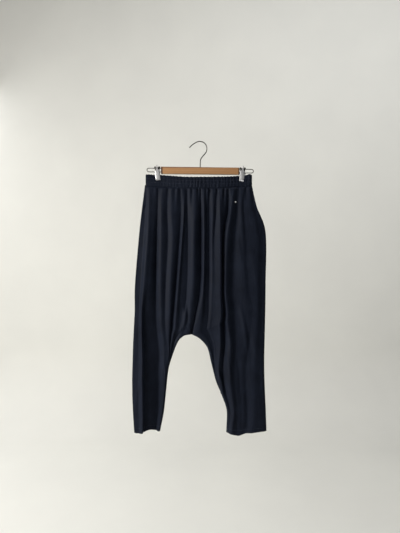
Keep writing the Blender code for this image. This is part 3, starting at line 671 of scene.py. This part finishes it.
def band_points(face, seed):
    """Points of a waistband strip: up the outer face, over the top and down the inner face."""
    outward = -1 if face == "front" else 1
    table = np.array(WAISTBAND)
    first, last = table[1, 0], table[-2, 0]
    turns = np.linspace(0.0, 1.0, 7)[:-1]
    left_end = table[0, 0] + (first - table[0, 0]) * (1 - np.cos(turns * math.pi / 2))
    right_end = table[-1, 0] + (last - table[-1, 0]) * (1 - np.cos(turns[::-1] * math.pi / 2))
    body = np.arange(first, last, BAND_COLUMN)
    x = np.concatenate((left_end, body, right_end))
    share = np.concatenate((np.sin(turns * math.pi / 2), np.ones(len(body)),
                            np.sin(turns[::-1] * math.pi / 2)))
    inside = np.clip(x, first, last)
    top_depth = np.array([through(table[1:-1, 0], table[1:-1, 2], at) for at in inside])
    seam_depth = np.array([through(table[1:-1, 0], table[1:-1, 3], at) for at in inside])
    top = np.array([through(table[:, 0], table[:, 1], at) for at in x]) - BAND_THICKNESS / 2
    bottom = seam_height(x)

    # Ruches are finest in the middle, and the clips press them flat.
    pressed = np.ones_like(x)
    for clip in CLIP_PLACES.values():
        pressed *= 1 - np.exp(-((x - clip) / (CLIP_WIDTH * 0.62)) ** 6)
    height = (RUCHE_HEIGHT * pressed * share * (0.6 + 0.4 * np.exp(-((x - 5.0) / 110.0) ** 4))
              * (1.0 + x / 330.0))
    outer = []
    for level in np.linspace(1.0, 0.0, BAND_ROWS_OUTSIDE):
        depth = (top_depth * (1 - level) + seam_depth * level) * share
        channel = sum(int(level > stitched) for stitched in BAND_STITCHING)
        edges = (0.0, *BAND_STITCHING, 1.0)
        within = (level - edges[channel]) / (edges[channel + 1] - edges[channel])
        puff = math.sin(math.pi * min(max(within, 0.0), 1.0)) ** 0.6
        wave = (0.65 * np.sin(ruche_phase(x, seed + channel, 6.0, 12.5) + 0.9 * within)
                + 0.35 * np.sin(ruche_phase(x, seed + 10 + channel, 3.4, 6.4) - 1.3 * within))
        shared = np.sin(ruche_phase(x, seed + 40, 7.0, 15.0))
        relief = height * ((0.55 * wave + 0.75 * shared) * (0.35 + 0.65 * puff))
        relief = relief + PUFF_HEIGHT * (puff - 0.8) * pressed
        z = top + (bottom - top) * level + 0.45 * shared * pressed * share * (1 - level)
        outer.append(np.stack((x, outward * (depth + relief * share + GAP / MM / 2), z), axis=-1))

    def outward_of(points):
        """Level direction out of the band at each of a row's points; its two ends face sideways."""
        along = np.gradient(points, axis=0)
        away = np.stack((along[:, 1], -along[:, 0], np.zeros(len(points))), axis=-1)
        away /= np.linalg.norm(away, axis=-1, keepdims=True)
        if away[len(away) // 2, 1] * outward < 0:
            away = -away
        away[0] = (-1, 0, 0)
        away[-1] = (1, 0, 0)
        return away

    sheet = list(outer)
    ridge = outer[-1]
    away = outward_of(ridge)
    radius = BAND_THICKNESS / 2
    for step in range(1, BAND_TURN_STEPS + 1):
        angle = math.pi * step / (BAND_TURN_STEPS + 1)
        shift = away * radius * (math.cos(angle) - 1)
        sheet.append(ridge + shift + np.array((0, 0, radius * math.sin(angle))))
    for level in np.linspace(0.0, 1.0, BAND_ROWS_INSIDE):
        depth = (top_depth * (1 - level) + seam_depth * level) * share
        behind = np.stack((x, outward * (depth + GAP / MM / 2), top + (bottom - top) * level), axis=-1)
        sheet.append(behind - outward_of(behind) * BAND_THICKNESS)
    return np.array(sheet) * MM, np.array(outer) * MM


# columns: flat width (round the body), flat length (down, both layers of the fold), seed
BAND_CUTS = {"front": (0.480, 0.078, 5), "back": (0.480, 0.078, 71)}
band_faces = {}
for face, (cut_width, cut_length, seed) in BAND_CUTS.items():
    outward = -1 if face == "front" else 1
    points, outer_points = band_points(face, seed)
    band_faces[face] = (outer_points, sheet_normals(outer_points, outward))
    band = add_sheet(f"waistband_{face}_casing", points, outward, crepe, BAND_SHELL * MM)
    join_frame(band, "navy_crepe", f"waistband_{face}")


# ---------------------------------------------------------------------------------------------
# Pocket facings. A narrow strip of the same crepe inside each side seam, sewn to the back panel,
# that shows as a dark line where the front panel's pocket mouth gapes.
FACING_SHELL = 0.8 * MM
FACING_INSET = 2.4 * MM

for side in ("right", "left"):
    inward = 1 if side == "right" else -1
    rows = np.array(sheet_rows())
    inside = (rows >= POCKET_ROWS[0]) & (rows <= POCKET_ROWS[1])
    edge = panel_sheets[f"front_{side}"][0][inside, 0]
    strips = []
    for across in np.linspace(0.0, 1.0, 5):
        strip = edge.copy()
        strip[:, 0] += inward * (FACING_INSET + 0.4 * MM * math.sin(math.pi * across))
        strip[:, 1] = (edge[:, 1] - 1.0 * MM) * (1 - across) + 1.4 * MM * across
        strips.append(strip)
    points = np.stack(strips, axis=1)
    facing = add_sheet(f"pocket_facing_{side}_strip", points, -1, crepe, FACING_SHELL)
    join_frame(facing, "navy_crepe", f"pocket_facing_{side}")


# ---------------------------------------------------------------------------------------------
# Topstitching. Polyester thread a shade off the cloth: one row round each hem, and two rows round
# the waistband, through the elastic. Each stitch is a small bead, sunk in the cloth at both ends.
THREAD = 0.55 * MM
STITCH = 2.6 * MM
STITCH_PITCH = 3.4 * MM

# A faint broken line with a little more shine than the cloth, seen only from near.
thread, tree, place = empty_material("spun polyester thread")
twist = add_noise(tree, place, 0.4 * MM, 1.0)
blue = add_mix(tree, twist, "#131826", "#1f2740")
relief = add_bump(tree, twist, 0.4, 0.05 * MM)
add_surface(tree, Base_Color=blue, Roughness=0.45, Normal=relief,
            Specular_IOR_Level=0.5)


def stitch_row(shape, points, normals):
    """Add a row of stitches along a line of points that lies on the cloth."""
    steps = np.linalg.norm(np.diff(points, axis=0), axis=1)
    reached = np.concatenate(((0.0,), np.cumsum(steps)))
    for stitch in range(int(reached[-1] / STITCH_PITCH)):
        middle = (stitch + 0.5) * STITCH_PITCH
        at = [np.array([np.interp(middle + off, reached, points[:, axis]) for axis in range(3)])
              for off in (-STITCH / 2, 0.0, STITCH / 2)]
        out = np.array([np.interp(middle, reached, normals[:, axis]) for axis in range(3)])
        out /= np.linalg.norm(out)
        along = at[2] - at[0]
        side = np.cross(along, out)
        side /= max(np.linalg.norm(side), 1e-9)
        rings = []
        for spot, fat, lift in zip(at, (0.45, 1.0, 0.45), (-0.3, 0.25, -0.3)):
            ring = []
            for corner in range(6):
                angle = math.pi * corner / 3
                ring.append(shape.verts.new(spot + THREAD / 2 * fat * (
                    side * math.cos(angle) + out * math.sin(angle)) + out * THREAD / 2 * lift))
            rings.append(ring)
        for ring, following in zip(rings[:-1], rings[1:]):
            for corner in range(6):
                after = (corner + 1) % 6
                shape.faces.new((ring[corner], ring[after], following[after], following[corner]))
        shape.faces.new(rings[0][::-1])
        shape.faces.new(rings[-1])


def add_stitches(name, lines):
    """One piece of thread for all the rows of stitches that belong together."""
    shape = bmesh.new()
    for points, normals in lines:
        stitch_row(shape, points, normals)
    bmesh.ops.recalc_face_normals(shape, faces=shape.faces)
    mesh = bpy.data.meshes.new(name)
    shape.to_mesh(mesh)
    shape.free()
    mesh.materials.append(thread)
    mesh.shade_smooth()
    piece = bpy.data.objects.new(name, mesh)
    bpy.context.collection.objects.link(piece)
    join_frame(piece, "navy_crepe")


for side in ("right", "left"):
    lines = []
    for face in ("front", "back"):
        points, normals = panel_sheets[f"{face}_{side}"]
        above = points[:, points.shape[1] // 2, 2] - points[-1, points.shape[1] // 2, 2]
        row = int(np.argmin(np.abs(above - HEM_DEPTH * MM)))
        lines.append((points[row, 2:-2], normals[row, 2:-2]))
    add_stitches(f"hem_stitching_{side}", lines)

for face, (points, normals) in band_faces.items():
    lines = []
    for stitched in BAND_STITCHING:
        row = round((1 - stitched) * (BAND_ROWS_OUTSIDE - 1))
        lines.append((points[row, 4:-4], normals[row, 4:-4]))
    add_stitches(f"waistband_stitching_{face}", lines)

# ---------------------------------------------------------------------------------------------
# Stud. A small oval metal stud low on the left front, unmarked: a bright dome in an almost
# black ring, coloured as painted shadow, riveted through the cloth.
STUD_PLACE = (113.5 * MM, -200.3 * MM)
STUD_SIZE = (9.0 * MM, 7.2 * MM)
STUD_RISE = 2.4 * MM
# Shares of the stud's width: where its flat rim starts, how high that is, where the dark ring starts.
RIM_REACH = 0.36
RIM_RISE = 0.19
RING_REACH = 0.335

# The one bright spot on the cloth; a part of its shine is given as white, for what it mirrors.
bright_stud, tree, place = empty_material("polished nickel silver")
gloss = add_range(tree, add_noise(tree, place, 0.7 * MM, 4.0), 0.30, 0.42)
add_surface(tree, Base_Color=linear("#ffffff"), Metallic=0.45, Roughness=gloss)

# An almost black ring of painted shadow round the dome, that sets the bright dome off from the navy.
painted_shadow_ring, tree, place = empty_material("stud ring in painted shadow")
painted_shadow_tone = add_mix(tree, add_noise(tree, place, 0.9 * MM, 3.0), "#0c0d10", "#23211f")
add_surface(tree, Base_Color=painted_shadow_tone, Metallic=0.7, Roughness=0.45)

points, normals = panel_sheets["front_left"]
away = np.hypot(points[..., 0] - STUD_PLACE[0], points[..., 2] - STUD_PLACE[1])
row, column = np.unravel_index(int(np.argmin(away)), away.shape)
stud_middle = Vector(points[row, column])
stud_normal = Vector(normals[row - 3:row + 4, column - 2:column + 3].mean(axis=(0, 1))).normalized()
bpy.ops.mesh.primitive_uv_sphere_add(segments=40, ring_count=24, radius=0.5)
stud = bpy.context.object
stud.name = "stud_oval"
bpy.ops.object.mode_set(mode="EDIT")
bpy.ops.mesh.bisect(plane_co=(0, 0, 0), plane_no=(0, 0, -1), use_fill=True, clear_outer=True)
bpy.ops.object.mode_set(mode="OBJECT")
stud.data.materials.append(bright_stud)
stud.data.materials.append(painted_shadow_ring)
for vertex in stud.data.vertices:
    reach = math.hypot(vertex.co.x, vertex.co.y)
    height = math.sqrt(max(0.25 - reach ** 2, 0.0))
    height = min(height, RIM_RISE) if reach > RIM_REACH else height * 0.92
    vertex.co.z = height if vertex.co.z > 1e-4 else 0.0
for polygon in stud.data.polygons:
    reach = math.hypot(polygon.center.x, polygon.center.y)
    polygon.material_index = 1 if reach > RING_REACH or polygon.center.z < 1e-4 else 0
stud.scale = (STUD_SIZE[0], STUD_SIZE[1], 2 * STUD_RISE)
stud.rotation_mode = "QUATERNION"
stud.rotation_quaternion = stud_normal.to_track_quat("Z", "Y")
stud.location = stud_middle - stud_normal * 0.2 * MM
bpy.ops.object.transform_apply(location=True, rotation=True, scale=True)
stud.data.shade_smooth()
stud.select_set(False)
join_frame(stud, "stud_metal", "stud")


# ---------------------------------------------------------------------------------------------
# Hanger bar. Solid beech, sawn square, its long edges rounded over, dipped in clear oil that has
# gone darker into the end grain. Two blind holes in each end take the wire loop.
HANGER_TILT = math.radians(0.65)
BAR_LENGTH = 259.0 * MM
BAR_HEIGHT = 23.0 * MM
BAR_DEPTH = 12.0 * MM
BAR_TOP = -84.0 * MM
LOOP_WIRE = 2.6 * MM
LOOP_REACH = 46.0 * MM
LOOP_SPREAD = 12.0 * MM
LOOP_MIDDLE = -94.5 * MM
LOOP_SOCKET = 14.0 * MM
GRAIN = 2.4 * MM
GRAIN_STRETCH = 26.0

# Warm light brown with fine straight grain, short flecks, darker ends and a top edge darkened with painted
# shade.
beech, tree, place = empty_material("oiled beech")
along = add_node(tree, "ShaderNodeMapping",
                 {"Vector": place, "Scale": (1 / GRAIN_STRETCH, 1, 1), "Rotation": (0.3, 0.0, 0.0)})
rings = add_node(tree, "ShaderNodeTexWave",
                 {"Vector": along.outputs["Vector"], "Scale": 1 / (GRAIN * 6), "Distortion": 5.0,
                  "Detail": 3.0, "Detail Scale": 1.4},
                 wave_type="BANDS", bands_direction="Z")
fibres = add_noise(tree, along.outputs["Vector"], 0.5 * MM, 4.0)
# Beech shows short dark flecks where the rays are cut.
drawn_out = add_node(tree, "ShaderNodeMapping", {"Vector": place, "Scale": (0.3, 1, 1)})
flecks = add_node(tree, "ShaderNodeTexVoronoi",
                  {"Vector": drawn_out.outputs["Vector"], "Scale": 1 / (1.5 * MM), "Randomness": 1.0})
fleck = add_range(tree, flecks.outputs["Distance"], 0.55, 0.0, **{"From Min": 0.05, "From Max": 0.22})
wood = add_mix(tree, rings.outputs["Fac"], "#a67b53", "#bc9369")
wood = add_mix(tree, fibres, wood, "#9c7149")
wood = add_mix(tree, fleck, wood, "#85572f")
# The end grain and the last few millimetres of each face have drunk more oil.
apart = add_node(tree, "ShaderNodeSeparateXYZ", {"Vector": place})
reach = add_node(tree, "ShaderNodeMath", {0: apart.outputs["X"]}, operation="ABSOLUTE")
oiled_end = add_node(tree, "ShaderNodeMapRange",
                     {"Value": reach.outputs["Value"], "From Min": BAR_LENGTH / 2 - 7.5 * MM,
                      "From Max": BAR_LENGTH / 2 - 2.5 * MM, "To Max": 0.96},
                     interpolation_type="SMOOTHSTEP")
wood = add_mix(tree, oiled_end.outputs["Result"], wood, "#3c2213")
# The top edge is darkened with painted shade: a dark line along the rounded top.
painted_top_shade = add_node(tree, "ShaderNodeMapRange",
                  {"Value": apart.outputs["Z"], "From Min": BAR_TOP - 4.0 * MM,
                   "From Max": BAR_TOP - 1.2 * MM, "To Max": 0.8}, interpolation_type="SMOOTHSTEP")
wood = add_mix(tree, painted_top_shade.outputs["Result"], wood, "#6b4a36")
relief = add_bump(tree, fibres, 0.35, 0.12 * MM)
add_surface(tree, Base_Color=wood, Roughness=0.42, Normal=relief,
            Specular_IOR_Level=0.4, Coat_Weight=0.15, Coat_Roughness=0.3)


def select_where(piece, chosen):
    """In edit mode, select the piece's faces for which chosen(face) is true, and nothing else."""
    shape = bmesh.from_edit_mesh(piece.data)
    bpy.ops.mesh.select_all(action="DESELECT")
    for face in shape.faces:
        if chosen(face):
            face.select_set(True)
    bmesh.update_edit_mesh(piece.data)


def hang_on_frame(piece, *nodes, slot):
    """Tip a finished hanger piece with the hanger, and let it stand for its CAD nodes."""
    bpy.ops.object.select_all(action="DESELECT")
    piece.select_set(True)
    bpy.context.view_layer.objects.active = piece
    bpy.ops.object.transform_apply(location=True, rotation=True, scale=True)
    piece.rotation_mode = "XYZ"
    piece.rotation_euler = (0, HANGER_TILT, 0)
    bpy.ops.object.transform_apply(location=True, rotation=True, scale=True)
    piece.select_set(False)
    join_frame(piece, slot, *nodes)


def drill(piece, middle, length):
    """Drill a hole for the loop's wire along X through a place on a piece."""
    bpy.ops.mesh.primitive_cylinder_add(vertices=24, radius=LOOP_WIRE / 2 + GAP, depth=length,
                                        rotation=(0, math.pi / 2, 0), location=middle)
    bit = bpy.context.object
    hole = piece.modifiers.new("hole", "BOOLEAN")
    hole.object = bit
    bpy.context.view_layer.objects.active = piece
    bpy.ops.object.modifier_apply(modifier=hole.name)
    bpy.data.objects.remove(bit, do_unlink=True)


bpy.ops.mesh.primitive_cube_add(size=1.0, location=(0, 0, BAR_TOP - BAR_HEIGHT / 2))
bar = bpy.context.object
bar.name = "hanger_bar_beech"
bar.scale = (BAR_LENGTH, BAR_DEPTH, BAR_HEIGHT)
bpy.ops.object.transform_apply(location=False, rotation=False, scale=True)
bar.data.materials.append(beech)
bpy.ops.object.mode_set(mode="EDIT")
bpy.ops.mesh.select_all(action="SELECT")
bpy.ops.mesh.bevel(offset=2.2 * MM, segments=5, affect="EDGES")
bpy.ops.object.mode_set(mode="OBJECT")
for outward in (-1, 1):
    for level in (-1, 1):
        depth = LOOP_SOCKET + 1.0 * MM
        drill(bar, (outward * (BAR_LENGTH / 2 - depth / 2 + 0.5 * MM), 0,
                    LOOP_MIDDLE + level * LOOP_SPREAD / 2), depth + 1.0 * MM)
bpy.context.view_layer.objects.active = bar
bar.select_set(True)
bpy.ops.object.shade_smooth_by_angle(angle=math.radians(35))
hang_on_frame(bar, "hanger_bar", slot="beech")


# ---------------------------------------------------------------------------------------------
# Hook and loops. One bent wire turns up out of the bar as the hook, and a flat wire loop at each
# end carries the sliding clips. Drawn steel, zinc plated, and gone dull and dark with handling.
WIRE = 3.2 * MM
# The wire's first end is pinched to this share of its width by the cutter.
TIP_SHARE = 0.9
# columns: x, z
HOOK_ROUTE = (
    (-36.0, -19.0), (-26.4, -9.5), (-12.4, -0.6), (0.0, 1.6), (13.0, -3.2), (20.6, -16.5),
    (19.0, -33.0), (9.0, -46.0), (1.5, -57.0), (0.0, -70.0), (0.0, -83.0),
)

# A thin dark grey line against the pale wall, with a brighter streak along its lit side.
plated_wire, tree, place = empty_material("zinc plated steel wire")
handling = add_noise(tree, place, 6 * MM, 5.0)
gloss = add_range(tree, handling, 0.22, 0.46)
add_surface(tree, Base_Color=add_mix(tree, handling, "#3a3937", "#5a5956"), Metallic=1.0, Roughness=gloss)


def add_wire(name, route, width, material):
    """A round wire of one width along a route in the hanger's plane, cut square at its ends."""
    bpy.ops.curve.primitive_bezier_curve_add()
    wire = bpy.context.object
    wire.name = name
    curve = wire.data
    curve.splines.clear()
    curve.bevel_depth = width / 2
    curve.bevel_resolution = 4
    curve.use_fill_caps = True
    spline = curve.splines.new("POLY")
    spline.points.add(len(route) - 1)
    for point, (x, z) in zip(spline.points, route):
        point.co = (x, 0, z, 1.0)
    spline.points[0].radius = TIP_SHARE
    curve.materials.append(material)
    bpy.ops.object.convert(target="MESH")
    wire.data.shade_smooth()
    return wire


steps = 72
knots = range(len(HOOK_ROUTE))
hook_xs, hook_zs = zip(*HOOK_ROUTE)
route = []
for step in range(steps + 1):
    at = (len(HOOK_ROUTE) - 1) * step / steps
    route.append((through(knots, hook_xs, at) * MM, through(knots, hook_zs, at) * MM))
tip = Vector(route[0]) + (Vector(route[0]) - Vector(route[1])).normalized() * 0.5 * MM
route.insert(0, tuple(tip))
route[-1] = (0.0, BAR_TOP - 1.0 * MM)
hook = add_wire("hanger_hook_wire", route, WIRE, plated_wire)
hang_on_frame(hook, "hanger_hook", slot="plated_wire")

for side, outward in (("right", -1), ("left", 1)):
    radius = LOOP_SPREAD / 2
    inside = BAR_LENGTH / 2 - LOOP_SOCKET
    turn_at = BAR_LENGTH / 2 + LOOP_REACH - radius
    route = [(outward * inside, LOOP_MIDDLE + radius)]
    route += [(outward * (inside + (turn_at - inside) * step / 12), LOOP_MIDDLE + radius)
              for step in range(1, 12)]
    turns = 20
    for turn in range(turns + 1):
        angle = math.pi / 2 - math.pi * turn / turns
        route.append((outward * (turn_at + radius * math.cos(angle)),
                      LOOP_MIDDLE + radius * math.sin(angle)))
    route += [(outward * (turn_at + (inside - turn_at) * step / 12), LOOP_MIDDLE - radius)
              for step in range(1, 13)]
    loop = add_wire(f"hanger_loop_{side}_wire", route, LOOP_WIRE, plated_wire)
    hang_on_frame(loop, f"hanger_loop_{side}", slot="plated_wire")


# ---------------------------------------------------------------------------------------------
# Clips. Two pressed jaws of nickel plated sheet on a dark spring-steel block that slides on the
# wire loop. Each jaw has a narrow finger tab, turned side edges, a pressed rib and a rolled lip.
CLIP_LEANS = {"right": math.radians(6.0), "left": math.radians(-6.0)}
CLIP_PLATE = 1.0 * MM
CLIP_BLOCK = (15.6 * MM, 6.4 * MM, 19.0 * MM)
RIB_HALF_WIDTH = 1.7 * MM
RIB_HEIGHT = 0.7 * MM
RIB_RUN_OUT = 4.0 * MM
RIB_FOOT = -33.0 * MM
SIDE_TURN_FROM = 6.3 * MM
# columns: distance from the middle plane, height from the middle of the wire loop, half width
JAW_OUTLINE = (
    (9.6, 15.0, 2.2), (7.4, 11.0, 2.4), (5.4, 7.0, 2.4), (4.2, 2.0, 3.0), (4.0, -2.0, 7.4),
    (4.0, -12.0, 7.5), (4.0, -24.0, 7.5), (4.0, -31.0, 7.5), (4.5, -33.0, 7.5), (6.0, -35.0, 7.2),
)

# Bright, silky grey with fine upright brush marks: the brightest thing on the hanger.
plated_sheet, tree, place = empty_material("nickel plated sheet")
brushed = add_node(tree, "ShaderNodeMapping", {"Vector": place, "Scale": (1, 1, 0.08)})
brush = add_noise(tree, brushed.outputs["Vector"], 0.5 * MM, 3.0)
gloss = add_range(tree, brush, 0.34, 0.50)
grey = add_mix(tree, brush, "#c2c2c4", "#e4e4e4")
relief = add_bump(tree, brush, 0.2, 0.05 * MM)
add_surface(tree, Base_Color=grey, Metallic=0.85, Roughness=gloss, Normal=relief)

# A dark grey block behind the bright jaws, blotchy from its bluing.
spring_steel, tree, place = empty_material("blued spring steel")
bluing = add_noise(tree, place, 3 * MM, 4.0)
dark = add_mix(tree, bluing, "#1f1e1d", "#3a3937")
add_surface(tree, Base_Color=dark, Metallic=0.9, Roughness=add_range(tree, bluing, 0.30, 0.50))


def add_jaw(name, outward):
    """A jaw bent from one strip: an edge is drawn out from point to point of its outline."""
    bpy.ops.mesh.primitive_plane_add(size=1.0, location=(0, 0, 0))
    jaw = bpy.context.object
    jaw.name = name
    bpy.ops.object.mode_set(mode="EDIT")
    shape = bmesh.from_edit_mesh(jaw.data)
    bpy.ops.mesh.select_all(action="DESELECT")
    for vertex in shape.verts:
        if vertex.co.y > 0:
            vertex.select_set(True)
    bmesh.update_edit_mesh(jaw.data)
    bpy.ops.mesh.delete(type="VERT")
    bpy.ops.mesh.select_all(action="SELECT")
    y, z, half = JAW_OUTLINE[0]
    bpy.ops.transform.resize(value=(2 * half * MM, 1, 1))
    bpy.ops.transform.translate(value=(0, 0.5 + outward * y * MM, z * MM))
    for (y, z, half), (next_y, next_z, next_half) in zip(JAW_OUTLINE[:-1], JAW_OUTLINE[1:]):
        bpy.ops.mesh.extrude_region_move(
            TRANSFORM_OT_translate={"value": (0, outward * (next_y - y) * MM, (next_z - z) * MM)})
        bpy.ops.transform.resize(value=(next_half / half, 1, 1))
    # The wide part gets a raised rib down its middle.
    bpy.ops.mesh.select_all(action="SELECT")
    bpy.ops.mesh.subdivide(number_cuts=5)
    shape = bmesh.from_edit_mesh(jaw.data)
    for vertex in shape.verts:
        x, y, z = vertex.co
        if z < -3.0 * MM:
            rib = math.exp(-(x / RIB_HALF_WIDTH) ** 4) * min(1.0, (-3.0 * MM - z) / RIB_RUN_OUT)
            edge = max(0.0, abs(x) - SIDE_TURN_FROM)
            vertex.co.y += outward * (RIB_HEIGHT * rib * min(1.0, (z - RIB_FOOT) / RIB_RUN_OUT)
                                      if z > RIB_FOOT else 0.0)
            vertex.co.y -= outward * edge * 0.5
    bmesh.update_edit_mesh(jaw.data)
    bpy.ops.mesh.normals_make_consistent(inside=False)
    bpy.ops.object.mode_set(mode="OBJECT")
    if sum(face.normal.y * face.area for face in jaw.data.polygons) * outward < 0:
        jaw.data.flip_normals()
    wall = jaw.modifiers.new("plate", "SOLIDIFY")
    wall.thickness = CLIP_PLATE
    wall.offset = 1.0
    bpy.ops.object.modifier_apply(modifier=wall.name)
    round_off = jaw.modifiers.new("edges", "BEVEL")
    round_off.width = 0.3 * MM
    round_off.segments = 2
    round_off.limit_method = "ANGLE"
    bpy.ops.object.modifier_apply(modifier=round_off.name)
    jaw.data.materials.append(plated_sheet)
    bpy.ops.object.shade_smooth_by_angle(angle=math.radians(50))
    return jaw


for side, place in CLIP_PLACES.items():
    place = place * MM
    bpy.ops.mesh.primitive_cube_add(size=1.0, location=(0, 0, 0))
    block = bpy.context.object
    block.name = f"clip_{side}_spring_block"
    block.scale = CLIP_BLOCK
    bpy.ops.object.transform_apply(location=False, rotation=False, scale=True)
    bpy.ops.object.mode_set(mode="EDIT")
    bpy.ops.mesh.select_all(action="SELECT")
    bpy.ops.mesh.bevel(offset=0.9 * MM, segments=3, affect="EDGES")
    # The spring's two leaves stand proud at the sides, with a channel between them.
    for outward in (-1, 1):
        select_where(block, lambda face: face.normal.y * outward > 0.9)
        bpy.ops.mesh.inset(thickness=2.6 * MM, depth=0.0)
        bpy.ops.mesh.inset(thickness=0.4 * MM, depth=-0.8 * MM)
    bpy.ops.object.mode_set(mode="OBJECT")
    block.location = (place, 0, LOOP_MIDDLE)
    for level in (-1, 1):
        drill(block, (place, 0, LOOP_MIDDLE + level * LOOP_SPREAD / 2), 30 * MM)
    block.data.materials.append(spring_steel)
    block.select_set(True)
    bpy.ops.object.shade_smooth_by_angle(angle=math.radians(35))
    hang_on_frame(block, f"clip_{side}_block", slot="spring_steel")
    for face, outward in (("front", -1), ("back", 1)):
        jaw = add_jaw(f"clip_{side}_{face}_jaw_plate", outward)
        jaw.rotation_euler = (0, -CLIP_LEANS[side], 0)
        jaw.location = (place, 0, LOOP_MIDDLE)
        hang_on_frame(jaw, f"clip_{side}_{face}_jaw", slot="plated_sheet")


# ---------------------------------------------------------------------------------------------
# Room. A pale floor that sweeps up into a pale wall, well behind the object, and soft light: a
# tall window-sized lamp low on the left, with a weak even glow from all round.
FLOOR_HEIGHT = -1.75
WALL_DISTANCE = 2.2
SWEEP_RADIUS = 0.6
SWEEP_HALF_WIDTH = 9.0

# Matt off-white, with slow faint patches.
plaster, tree, place = empty_material("matt emulsion paint")
brushwork = add_node(tree, "ShaderNodeTexNoise", {"Vector": place, "Scale": 2.2, "Detail": 6.0})
pale = add_mix(tree, brushwork.outputs["Fac"], "#dededa", "#e9e9e4")
add_surface(tree, Base_Color=pale, Roughness=0.9, Specular_IOR_Level=0.1)

sweep = [(-9.0, FLOOR_HEIGHT)]
for turn in range(17):
    angle = math.pi / 2 * turn / 16
    sweep.append((WALL_DISTANCE - SWEEP_RADIUS + SWEEP_RADIUS * math.sin(angle),
                  FLOOR_HEIGHT + SWEEP_RADIUS - SWEEP_RADIUS * math.cos(angle)))
sweep.append((WALL_DISTANCE, 6.0))
mesh = bpy.data.meshes.new("sweep")
corners = [(x, y, z) for y, z in sweep for x in (-SWEEP_HALF_WIDTH, SWEEP_HALF_WIDTH)]
faces = [(2 * step, 2 * step + 1, 2 * step + 3, 2 * step + 2) for step in range(len(sweep) - 1)]
mesh.from_pydata(corners, [], faces)
mesh.materials.append(plaster)
mesh.shade_smooth()
backdrop = bpy.data.objects.new("floor_and_wall", mesh)
bpy.context.collection.objects.link(backdrop)

# Every lamp is hidden from the camera. The wall stands far from the window lamp, so it gets a wash
# of its own, and so does the back of the garment, from beside the wall.
# columns: place, target, size across, size up, power in watts, colour
LAMPS = {
    "window": ((-2.6, -1.5, 0.1), (0.0, 0.0, -0.5), 1.3, 1.7, 132.0, "#fffcf6"),
    "bounce": ((2.2, -2.4, 0.6), (0.0, 0.0, -0.5), 2.0, 2.0, 0.6, "#f2f5ff"),
    "card": ((0.0, -2.4, 0.45), (0.0, 0.0, -0.1), 1.4, 0.6, 3.0, "#ffffff"),
    "wall_wash": ((1.9, -0.2, 2.4), (1.9, 2.2, -0.9), 3.6, 1.0, 58.0, "#ffffff"),
    "back_wash": ((-2.4, 2.1, 0.4), (-1.2, 0.0, -0.2), 1.6, 1.6, 70.0, "#ffffff"),
}
for name, (place, target, across, up, power, colour) in LAMPS.items():
    bpy.ops.object.light_add(type="AREA", location=place)
    lamp = bpy.context.object
    lamp.name = name
    lamp.data.shape = "RECTANGLE"
    lamp.data.size = across
    lamp.data.size_y = up
    lamp.data.energy = power
    lamp.data.color = linear(colour)[:3]
    lamp.rotation_euler = (Vector(target) - Vector(place)).to_track_quat("-Z", "Y").to_euler()
    lamp.visible_camera = False

# The room beyond the sweep looks pale, but gives the cloth only a weak glow.
GLOW = 0.02
SEEN_GLOW = 0.62
world = bpy.data.worlds.new("glow")
world.use_nodes = True
world.node_tree.nodes.clear()
seen = add_node(world.node_tree, "ShaderNodeLightPath")
strength = add_node(world.node_tree, "ShaderNodeMapRange",
                    {"Value": seen.outputs["Is Camera Ray"], "To Min": GLOW, "To Max": SEEN_GLOW})
glow = add_node(world.node_tree, "ShaderNodeBackground",
                {"Color": linear("#eceee9"), "Strength": strength.outputs["Result"]})
add_node(world.node_tree, "ShaderNodeOutputWorld", {"Surface": glow.outputs["Background"]})
bpy.context.scene.world = world
